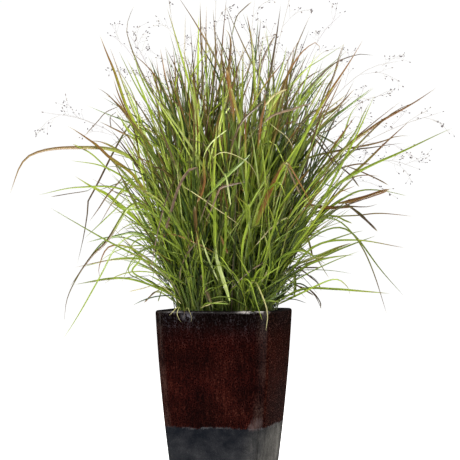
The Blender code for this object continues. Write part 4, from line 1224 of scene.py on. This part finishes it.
def growLeaf(heap, root, along, azimuth, rng, habit):
    for attempt in range(6):
        length = rng.uniform(*habit["length"])
        angle = math.radians(rng.uniform(*habit["angle"]))
        out = np.array((math.cos(azimuth), math.sin(azimuth), 0.0))
        side = np.cross(along, out)
        side /= np.linalg.norm(side) + 1e-9
        outward = np.cross(side, along)
        direction = along * math.cos(angle) + outward * math.sin(angle)
        droop = rng.uniform(*habit["droop"]) * rng.random() * length / 0.35
        rings = bladeShape["rings"]
        step = length / (rings - 1)
        path = np.empty((rings, 3))
        path[0] = root
        heading = along * 0.75 + direction * 0.25
        kinkAt = rng.randint(5, 9) if rng.random() < grassSettings["kinked"] else None
        wander = np.array([rng.gauss(0, 0.012) for _ in range(3)])
        for i in range(1, rings):
            heading = heading / np.linalg.norm(heading)
            path[i] = path[i - 1] + heading * step
            ease = 0.5 if i < 3 else 0.0
            heading = heading * (1 - ease) + direction * ease + wander
            heading[2] -= droop / rings * (1 + i / rings) * 0.9
            if i == kinkAt:
                heading = heading + np.array((0.3 * out[0], 0.3 * out[1], -1.1))
            direction = direction + (0, 0, -droop / rings)
        limit = 1 + rng.expovariate(1 / habit["overshoot"])
        beyond = np.nonzero((strayShare(path) > limit) | outsideBox(path))[0]
        azimuth += 1.2
        if len(beyond) and beyond[0] < 5:
            continue
        if len(beyond):
            path, _ = evenCurve(path[:beyond[0]:2], rings)
        if clearOfRim(path) and not inSoil(path) and path[:, 2].min() > soilTop:
            width = rng.uniform(*habit["width"]) * min(1.0, 0.55 + length)
            addBlade(heap, path, width, rng.uniform(-2.2, 2.2), randomTones(path, rng), bladeShape)
            return


def pickHabit(rng):
    point = rng.random()
    for habit in leafHabits.values():
        point -= habit["share"]
        if point < 0:
            return habit
    return leafHabits["upright"]


def growStem(heap, path, rng, settings):
    # a culm along the lower part of a path, the leading blade beyond it, and leaves at its joints
    count = len(path)
    collar = rng.uniform(*settings["collar"])
    stemEnd = max(4, int(count * collar) + 2)
    stemPath, _ = evenCurve(path[:stemEnd:2] if stemEnd > 6 else path[:stemEnd], settings["stemRings"])
    addCulm(heap, stemPath, (1, 0.6), 1.22, rng, settings)
    bladeStart = max(2, int(count * collar) - 1)
    bladePath, _ = evenCurve(path[bladeStart::2], bladeShape["rings"] + 3)
    width = rng.uniform(*settings["stemBlade"])
    addBlade(heap, bladePath, width, rng.uniform(-1.8, 1.8), randomTones(bladePath, rng), bladeShape)
    azimuth = rng.uniform(0, 2 * math.pi)
    leaves = rng.randint(*settings["leavesPerStem"])
    for k in range(leaves):
        share = 0.12 + 0.88 * (k + rng.uniform(0.1, 0.9)) / leaves
        root, along = placeOn(path, share * collar * (count - 1))
        azimuth += math.pi + rng.uniform(-0.5, 0.5)
        growLeaf(heap, root, along, azimuth, rng, pickHabit(rng))


def growBasal(heap, foot, rng, settings):  # low leaves that arch out over the rim and across the stems
    outward = math.atan2(foot[1], foot[0])
    for _ in range(rng.randint(*settings["basalLeaves"])):
        azimuth = outward + (rng.gauss(0, 0.8) if rng.random() < 0.5 else rng.uniform(-2.2, 2.2))
        lean = rng.uniform(0.0, 0.45)
        along = np.array((math.cos(azimuth) * lean, math.sin(azimuth) * lean, 1.0))
        along /= np.linalg.norm(along)
        height = rng.uniform(0.02, 0.14)
        root = foot + along * height
        growLeaf(heap, root, along, azimuth + rng.gauss(0, 0.5), rng, leafHabits["basal"])


def addStubble(heap, foot, rng, settings):  # short, dark stumps and sheaths of old stems
    for _ in range(rng.randint(*settings["stubble"])):
        base = footBeside(foot, rng, settings["stubbleSpread"], settings["fillWithin"])
        lean = np.array((rng.gauss(0, 0.22), rng.gauss(0, 0.22), 1.0)) + (base[0], base[1], 0)
        height = rng.uniform(0.04, 0.15)
        path, _ = evenCurve([base, base + lean * height * 0.5, base + lean * height], 5)
        if clearOfRim(path):
            tones = stemTones(5, rng) * (0.6, 1, 1, 1)
            addStem(heap, path, np.linspace(0.0018, 0.0010, 5), tones, 4)


def extraPath(lead, foot, rng, settings):  # a stem beside the leading one, with its own lean and height
    for attempt in range(8):
        turn = math.radians(rng.gauss(0, settings["turnSpread"]))
        wide = rng.uniform(*settings["widthShare"])
        tall = rng.uniform(*settings["heightShare"])
        offset = lead - foot
        c, s = math.cos(turn), math.sin(turn)
        x = (offset[:, 0] * c - offset[:, 1] * s) * wide
        y = (offset[:, 0] * s + offset[:, 1] * c) * wide
        base = footBeside(foot, rng, settings["footSpread"], settings["besideWithin"])
        path = base + np.stack([x, y, offset[:, 2] * tall], 1)
        limit = 1 + rng.expovariate(1 / settings["overshoot"])
        beyond = np.nonzero((strayShare(path) > limit) | outsideBox(path))[0]
        if len(beyond) and beyond[0] > 7:
            path, _ = evenCurve(path[:beyond[0]:2], len(path))
        elif len(beyond):
            continue
        if clearOfRim(path):
            return path
    return None


def fillPath(foot, rng, settings):  # a stem whose tip takes its own place inside the dense outline
    for attempt in range(8):
        base = footBeside(foot, rng, settings["footSpread"], settings["fillWithin"])
        right, low, toward = inPlan(base)
        out = min(1.0, math.hypot(right, toward) / 130)
        turn = math.atan2(toward, right) + rng.gauss(0, 0.35 + 0.9 * (1 - out))
        turn -= settings["sideways"] * math.sin(2 * turn)
        up = rng.triangular(*settings["tipHeights"])
        half = float(outlineHalf(up))
        stray = 1 + rng.expovariate(1 / settings["overshoot"])
        share = min(stray, max(0.0, 0.84 * out + rng.uniform(-0.42, 0.60)))
        if rng.random() < settings["corners"]:
            up, share = rng.uniform(540, 790), rng.uniform(0.85, 1.15)
            half = float(outlineHalf(up))
        up *= 0.94 + 0.06 * min(1.0, 2 * share)
        tip = np.array((outlineCentre(up) + math.cos(turn) * half * share, up,
                        math.sin(turn) * half * outlineDepth * share))
        start = np.array((right, low, toward))
        bow = rng.uniform(0.26, 0.46)  # how much of the lean comes in the lower half
        middle = start + (tip - start) * (bow, 0.5, bow)
        middle += (rng.gauss(0, 14), 0, rng.gauss(0, 14))
        late = start + (tip - start) * (bow + 0.26, 0.80, bow + 0.26)
        tip += (rng.gauss(0, settings["tipBend"]), -abs(rng.gauss(0, 20)), rng.gauss(0, settings["tipBend"]))
        points = [inFrame(p) for p in (start, middle, late, tip)]
        path, _ = evenCurve(points, 25)
        if clearOfRim(path) and not outsideBox(path).any():
            return path
    return None


def growLoose(heap, foot, points, width, name, rng, settings):  # a leaf of the table above, on its own stem
    path, length = evenCurve([inFrame(p) for p in points], 16)
    shape = looseShape if length > 0.145 and width > 0 else cutShape
    tones = bladeTones(path, tints[name], 0.05, rng, 0.5, 0.10, (1.3, 2.6))
    addBlade(heap, path, abs(width) * mm, rng.uniform(-0.5, 0.5), tones, shape,
             sideHint=np.cross(path[-1] - path[0], np.array(toViewer)), thick=1.2)
    root = path[0]
    middle = foot + (root - foot) * (0.35, 0.35, 0.6)
    stem, _ = evenCurve([foot, middle, root], settings["stemRings"])
    if clearOfRim(stem):
        addCulm(heap, stem, (1, 0.6), 1, rng, settings)


def buildShoot(index, plan, material, settings):
    rng = random.Random(settings["seed"] + 31 * index)
    node = f"tiller_{index + 1:02d}"
    foot = footOf(node)
    shift = shiftTo(foot, *plan["foot"])
    heap = Heap()
    leadPoints = [foot] + [inFrame(p) + shift for p in plan["path"]]
    lead, length = evenCurve(leadPoints, 25)
    first = np.linalg.norm(leadPoints[1] - foot) / length
    stemEnd = max(5, int(first * 24) + 3)
    stemPath, _ = evenCurve(lead[:stemEnd], settings["stemRings"])
    addCulm(heap, stemPath, (1.1, 0.7), 1.2, rng, settings)
    bladeStart = max(1, int(first * 24) - 1)
    bladePath, _ = evenCurve(lead[bladeStart:], 30)
    names = shootTints.get(index + 1, ())

    def tones(path, place):
        if place < len(names):
            return bladeTones(path, tints[names[place]], 0.03, rng, 0.0, 0.06, (2.0, 3.6))
        return randomTones(path, rng)

    addBlade(heap, bladePath, plan["width"] * settings["leadShare"] * mm, rng.uniform(-1.2, 1.2),
             tones(bladePath, 0), leadShape,
             sideHint=np.cross(bladePath[-1] - bladePath[0], np.array(toViewer)), thick=1.3)
    for place, side in enumerate(plan["sides"], 1):
        z = rimLevel + side["collar"] * mm
        at = int(np.argmax(lead[:, 2] >= z)) or 24
        a, b = lead[at - 1], lead[at]
        root = a + (b - a) * np.clip((z - a[2]) / (b[2] - a[2]), 0, 1)
        path, _ = evenCurve([root] + [inFrame(p) + shift for p in side["path"]], 24)
        addBlade(heap, path, side["width"] * settings["leadShare"] * mm, rng.uniform(-1.2, 1.2),
                 tones(path, place), leadShape,
                 sideHint=np.cross(path[-1] - path[0], np.array(toViewer)), thick=1.3)
    for number, width, name, *points in wisps:
        if number == index + 1:
            path, _ = evenCurve([inFrame(p) for p in points], 16)
            twist = rng.uniform(-1, 1)
            addBlade(heap, path, width * mm, twist, bladeTones(path, tints[name], 0.05, rng), bladeShape,
                     thick=0.6)
    for width, name, layer, *places in looseLeaves:
        points = [seenAt(x, y, layer, pictureSettings) for x, y in places]
        if nearestShoot(points[0]) == index:
            growLoose(heap, foot, points, width, name, rng, settings)
    for k in range(rng.randint(*settings["leavesPerStem"])):
        root, along = placeOn(lead, first * 24 * (0.2 + 0.8 * rng.random()))
        growLeaf(heap, root, along, rng.uniform(0, 2 * math.pi), rng, pickHabit(rng))
    growBasal(heap, foot, rng, settings)
    addStubble(heap, foot, rng, settings)
    paths = [extraPath(lead, foot, rng, settings) for _ in range(rng.randint(*settings["besideStems"]))]
    fewer = settings["thinPast"][1] if plan["foot"][0] > settings["thinPast"][0] else 0
    paths += [fillPath(foot, rng, settings) for _ in range(rng.randint(*settings["fillStems"]) - fewer)]
    for path in paths:
        if path is not None:
            growStem(heap, path, rng, settings)
    made = heap.build(f"shoot{index + 1:02d}", [material], math.radians(24))
    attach(made, "root")
    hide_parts(node)
    return made


def veinGroup():  # fine lines along a blade or stalk, and its paler midrib
    group = bpy.data.node_groups.new("bladeVeins", "ShaderNodeTree")
    socketed(group, "Lines", "NodeSocketFloat", True, 11.0)
    socketed(group, "Midrib", "NodeSocketFloat", True, 0.07)
    socketed(group, "Veins", "NodeSocketFloat", False)
    socketed(group, "Rib", "NodeSocketFloat", False)
    start = group.nodes.new("NodeGroupInput")
    end = group.nodes.new("NodeGroupOutput")
    uv = addNode(group, "ShaderNodeAttribute", attribute_name="alongBlade").outputs["Vector"]
    across = addNode(group, "ShaderNodeSeparateXYZ", toVector=uv).outputs["X"]
    turns = times(group, across, start.outputs["Lines"], 2 * math.pi)
    group.links.new(spanned(group, maths(group, "SINE", turns), 0.5, 0.5), end.inputs["Veins"])
    away = maths(group, "ABSOLUTE", minus(group, across, 0.5))
    rib = addNode(group, "ShaderNodeMapRange", toValue=away)
    group.links.new(start.outputs["Midrib"], rib.inputs["From Max"])
    rib.inputs["To Min"].default_value = 1
    rib.inputs["To Max"].default_value = 0
    group.links.new(rib.outputs[0], end.inputs["Rib"])
    return group


def placeGroup(tree, group, **values):
    node = tree.nodes.new("ShaderNodeGroup")
    node.node_tree = group
    for key, value in values.items():
        node.inputs[key].default_value = value
    return node


leafColours = {
    "green": ((0.0, (0.008, 0.019, 0.002)), (0.25, (0.040, 0.076, 0.004)), (0.50, (0.146, 0.200, 0.013)),
              (0.72, (0.248, 0.338, 0.020)), (0.86, (0.35, 0.43, 0.06)), (1.0, (0.48, 0.53, 0.18))),
    "grey": ((0.0, (0.008, 0.019, 0.005)), (0.25, (0.036, 0.074, 0.017)), (0.50, (0.118, 0.195, 0.048)),
             (0.75, (0.240, 0.345, 0.115)), (1.0, (0.42, 0.52, 0.23))),
    "bronze": ((0.0, (0.158, 0.060, 0.010)), (0.33, (0.124, 0.062, 0.012)), (0.66, (0.066, 0.036, 0.014)),
               (0.85, (0.078, 0.046, 0.030)), (1.0, (0.205, 0.115, 0.088))),
    "dry": (0.42, 0.35, 0.18),
    "midrib": (0.38, 0.43, 0.11),
}


def leafMaterial(group, colours):
    material, tree, shader, place = startMaterial("grassBlade")
    greenTone, bronzeTone, shadeTone, dryTone = toneParts(tree)
    blotch = noiseMask(tree, place, 75, 4.0, 0.65)
    greenAt = plus(tree, greenTone, swing(tree, blotch, 0.55))
    green = ramp(tree, greenAt, *colours["green"])
    grey = ramp(tree, greenAt, *colours["grey"])
    greyShare = times(tree, smoothMask(tree, shadeTone, 0.50, 1.0), 0.65)
    green = mixColours(tree, greyShare, green, grey)
    bronze = ramp(tree, plus(tree, shadeTone, swing(tree, blotch, 0.6)), *colours["bronze"])
    patchy = plus(tree, bronzeTone, swing(tree, blotch, 0.9))
    share = times(tree, smoothMask(tree, patchy, 0.15, 0.75), smoothMask(tree, bronzeTone, 0.02, 0.2))
    colour = mixColours(tree, share, green, bronze)
    colour = mixColours(tree, dryTone, colour, colours["dry"])
    veins = placeGroup(tree, group, Lines=9.0, Midrib=0.09)
    shaded = spanned(tree, veins.outputs["Veins"], 0.86, 0.24)
    level = addNode(tree, "ShaderNodeCombineColor", toRed=shaded, toGreen=shaded, toBlue=shaded).outputs[0]
    colour = mixColours(tree, 1.0, colour, level, "MULTIPLY")
    colour = mixColours(tree, times(tree, veins.outputs["Rib"], 0.30), colour, colours["midrib"])
    finishWith(tree, shader, colour, spanned(tree, blotch, 0.24, 0.25))
    shader.inputs["Specular IOR Level"].default_value = 0.48
    bumped(tree, shader, veins.outputs["Veins"], 0.35, 0.0002)
    return material


veins = veinGroup()
blade = leafMaterial(veins, leafColours)
faces = 0
for index, plan in enumerate(shoots):
    faces += len(buildShoot(index, plan, blade, grassSettings).data.polygons)
print("shoots", len(shoots), "with", faces, "faces")


# Flower stalks: each foot (right, toward), then the points of the stalk

stalks = (
    ((-96, -46), (-190, 330, -60), (-290, 470, -70), (-400, 535, -80), (-530, 560, -85)),
    ((-58, -22), (-120, 400, -40), (-200, 600, -50), (-280, 735, -60), (-340, 785, -70)),
    ((-30, -62), (-80, 400, -110), (-130, 650, -150), (-165, 830, -180), (-180, 920, -195)),
    ((-62, 30), (-120, 400, 70), (-180, 600, 100), (-225, 700, 120), (-262, 760, 135)),
    ((-6, 10), (-15, 400, 40), (-25, 680, 70), (-20, 910, 90)),
    ((10, -44), (35, 400, -80), (58, 680, -110), (78, 900, -130)),
    ((40, 44), (85, 400, 80), (135, 660, 110), (195, 900, 140)),
    ((64, -54), (125, 400, -100), (205, 640, -140), (275, 790, -165), (345, 860, -180)),
    ((80, 34), (170, 380, 60), (285, 560, 85), (390, 655, 100), (490, 680, 110)),
    ((90, -32), (190, 350, -50), (310, 530, -65), (400, 590, -75), (470, 610, -80)),
    ((104, 16), (210, 310, 35), (340, 430, 50), (470, 500, 60), (605, 545, 65)),
    ((108, -66), (220, 270, -120), (350, 380, -170), (460, 425, -200), (560, 400, -225)),
    ((-34, -100), (-60, 350, -220), (-90, 620, -330), (-110, 760, -420)),
    ((20, 92), (40, 350, 200), (70, 600, 310), (90, 730, 400)),
)

flowerSettings = {
    "seed": 5,
    "rings": 9,  # the stalk's solid has this many
    "branches": 6,
    "branchAlong": (0.58, 0.93),  # where on the stalk the first and the last branch stand
    "reach": (0.19, 0.09),  # their lengths
    "spread": math.radians(38),
    "turn": math.radians(137.5),
    "stalkRadius": (0.0012, 0.0003),
    "branchRadius": 0.00025,
    "twigRadius": 0.00018,
    "twigs": 6,
    "twigLength": (0.018, 0.060),
    "spikeletLength": 0.0070,
    "spikeletRadius": 0.0017,
}


def addSpikelet(heap, end, heading, rng, settings):
    heading = heading / np.linalg.norm(heading)
    side = np.cross(heading, (0.2, 0.3, 0.93))
    side /= np.linalg.norm(side)
    up = np.cross(heading, side)
    size = rng.uniform(0.8, 1.25)
    long, wide = settings["spikeletLength"] * size, settings["spikeletRadius"] * size
    at = end - heading * long
    ring = [side * wide, up * wide, -side * wide, -up * wide]
    middle = at + heading * long * 0.4
    points = np.array([at] + [middle + r for r in ring] + [at + heading * long])
    faces = [(0, 1 + (k + 1) % 4, 1 + k) for k in range(4)] + [(5, 1 + k, 1 + (k + 1) % 4) for k in range(4)]
    row = np.array([rng.random(), rng.random(), rng.random(), 1.0])
    heap.add(points, faces, np.tile(row, (6, 1)), np.zeros((6, 2)), slot=1)


def addTwig(heap, root, heading, length, rng, settings):
    heading = heading / np.linalg.norm(heading)
    bend = np.array([rng.gauss(0, 0.18) for _ in range(3)])
    points = [root, root + heading * length * 0.5, root + (heading + bend) * length]
    path, _ = evenCurve(points, 5)
    if outsideBox(path).any():
        return None
    addStem(heap, path, np.full(5, settings["twigRadius"]), np.tile([0.5, 0.5, rng.random(), 0.3], (5, 1)), 3)
    addSpikelet(heap, path[-1], path[-1] - path[-2], rng, settings)
    return path


def partway(ends, t):
    return ends[0] + (ends[1] - ends[0]) * t


def buildStalk(index, plan, materials, settings):
    rng = random.Random(settings["seed"] + 17 * index)
    node = f"flower_stalk_{index + 1:02d}"
    foot = footOf(node)
    shift = shiftTo(foot, *plan[0])
    given = [foot] + [inFrame(p) + shift for p in plan[1:]]
    coarse, _ = evenCurve(given, settings["rings"])
    fine, _ = evenCurve(given, 26)
    heap = Heap()
    radii = np.linspace(*settings["stalkRadius"], 26)
    tone = np.tile([0.45, 0.35, rng.random(), 0.35], (26, 1))
    addStem(heap, fine, radii, tone, 5)
    addSpikelet(heap, fine[-1], fine[-1] - fine[-2], rng, settings)
    for k in range(settings["branches"]):
        t = k / (settings["branches"] - 1)
        at = partway(settings["branchAlong"], t) * (settings["rings"] - 1)
        low = int(at)
        root = coarse[low] + (coarse[low + 1] - coarse[low]) * (at - low)
        along = Vector(coarse[low + 1] - coarse[low]).normalized()
        out = Matrix.Rotation((k + index) * settings["turn"], 3, along) @ along.orthogonal().normalized()
        reach = partway(settings["reach"], t)
        spread = settings["spread"]
        knee = Vector(root) + (along * math.cos(spread) + out * math.sin(spread)) * reach / 2
        end = knee + (along * 0.55 + out * 0.8).normalized() * reach / 2 - Vector((0, 0, 0.012))
        path, _ = evenCurve([root, np.array(knee), np.array(end)], 12)
        addStem(heap, path, np.full(12, settings["branchRadius"]),
                np.tile([0.5, 0.5, rng.random(), 0.3], (12, 1)), 4)
        addSpikelet(heap, path[-1], path[-1] - path[-2], rng, settings)
        for n in range(settings["twigs"]):
            spot = 2 + int(n * 9 / settings["twigs"]) + rng.randint(0, 1)
            heading = path[spot + 1] - path[spot] if spot < 11 else path[-1] - path[-2]
            heading = heading / np.linalg.norm(heading)
            sideways = np.cross(heading, [rng.gauss(0, 1) for _ in range(3)])
            sideways /= np.linalg.norm(sideways)
            long = rng.uniform(*settings["twigLength"]) * (1 - 0.5 * spot / 11)
            twig = addTwig(heap, path[spot], heading * 0.7 + sideways * 0.7, long, rng, settings)
            if twig is not None and rng.random() < 0.55:
                addTwig(heap, twig[2], heading + sideways * -0.4, long * 0.5, rng, settings)
    made = heap.build(f"flowerHead{index + 1:02d}", materials, math.radians(60))
    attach(made, "root")
    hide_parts(node)
    return made


def stalkMaterial(group):
    material, tree, shader, place = startMaterial("flowerStalk")
    _, _, tone, _ = toneParts(tree)
    colour = ramp(tree, tone, (0.0, (0.30, 0.24, 0.13)), (0.5, (0.20, 0.15, 0.10)),
                  (1.0, (0.20, 0.13, 0.15)))
    veins = placeGroup(tree, group, Lines=4.0, Midrib=0.0)
    dark = times(tree, veins.outputs["Veins"], 0.25)
    colour = mixColours(tree, dark, colour, (0.10, 0.08, 0.05))
    finishWith(tree, shader, colour, spanned(tree, noiseMask(tree, place, 120), 0.5, 0.2))
    return material


def spikeletMaterial():
    material, tree, shader, place = startMaterial("spikelet")
    tone, _, _, _ = toneParts(tree)
    colour = ramp(tree, tone, (0.0, (0.045, 0.030, 0.038)), (0.5, (0.090, 0.064, 0.070)),
                  (0.85, (0.13, 0.095, 0.085)), (1.0, (0.20, 0.16, 0.12)))
    finishWith(tree, shader, colour, spanned(tree, noiseMask(tree, place, 300), 0.55, 0.2))
    return material


flowerMaterials = [stalkMaterial(veins), spikeletMaterial()]
faces = 0
for index, plan in enumerate(stalks):
    faces += len(buildStalk(index, plan, flowerMaterials, flowerSettings).data.polygons)
print("flower heads", len(stalks), "with", faces, "faces")


# Soil: crumbs and bark chips on the frame's soil

soilSettings = {
    "seed": 3,
    "half": 0.140,
    "corner": 0.028,
    "cornerReach": 0.026,
    "edge": 0.008,  # this near the wall they lie lower
    "edgeSink": 0.004,
    "kinds": (
        {"count": 1500, "size": (0.0012, 0.0038), "rise": 0.3, "flat": 0.7},  # crumbs
        {"count": 420, "size": (0.004, 0.009), "rise": 0.05, "flat": 0.25},  # bark chips
    ),
}


def soilMaterial():
    material, tree, shader, place = startMaterial("pottingSoil")
    grain = noiseMask(tree, place, 240, 4.0, 0.7)
    clods = noiseMask(tree, place, 45, 3.0, 0.6)
    mix = plus(tree, times(tree, grain, 0.55), times(tree, clods, 0.45))
    colour = ramp(tree, mix, (0.30, (0.008, 0.005, 0.004)), (0.52, (0.030, 0.019, 0.012)),
                  (0.72, (0.075, 0.048, 0.028)), (0.9, (0.17, 0.12, 0.08)))
    finishWith(tree, shader, colour, spanned(tree, grain, 0.82, 0.15))
    bumped(tree, shader, mix, 0.9, 0.003)
    return material


def addCrumb(heap, at, size, flat, rng):
    turn = Matrix.Rotation(rng.uniform(0, 6.28), 3, "Z") @ Matrix.Rotation(rng.uniform(-0.6, 0.6), 3, "X")
    corners = [(1, 0, 0), (0, 1, 0), (-1, 0, 0), (0, -1, 0), (0, 0, 1), (0, 0, -1)]
    points = []
    for corner in corners:
        scaled = Vector(corner) * size * rng.uniform(0.75, 1.25)
        scaled.y *= 0.7
        scaled.z *= flat
        points.append(np.array(Vector(at) + turn @ scaled))
    faces = [(4, k, (k + 1) % 4) for k in range(4)] + [(5, (k + 1) % 4, k) for k in range(4)]
    heap.add(np.array(points), faces, np.tile([rng.random(), rng.random(), 0, 1], (6, 1)), np.zeros((6, 2)))


def buildCrumbs(settings, material):
    rng = random.Random(settings["seed"])
    heap = Heap()
    half, corner = settings["half"], settings["corner"]
    for kind in settings["kinds"]:
        for _ in range(kind["count"]):
            x, y = rng.uniform(-half, half), rng.uniform(-half, half)
            if abs(x) > half - corner and abs(y) > half - corner:
                if math.hypot(abs(x) - half + corner, abs(y) - half + corner) > settings["cornerReach"]:
                    continue
            sink = settings["edgeSink"] if max(abs(x), abs(y)) > half - settings["edge"] else 0.0
            size = rng.uniform(*kind["size"])
            addCrumb(heap, (x, y, soilTop - sink + size * kind["rise"]), size, kind["flat"], rng)
    made = heap.build("soilCrumbs", [material], math.radians(10))
    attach(made, "root")
    return made


soilFinish = soilMaterial()
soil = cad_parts["potting_soil"]
soil.data.materials.clear()
soil.data.materials.append(soilFinish)
buildCrumbs(soilSettings, soilFinish)
print("soil ready")
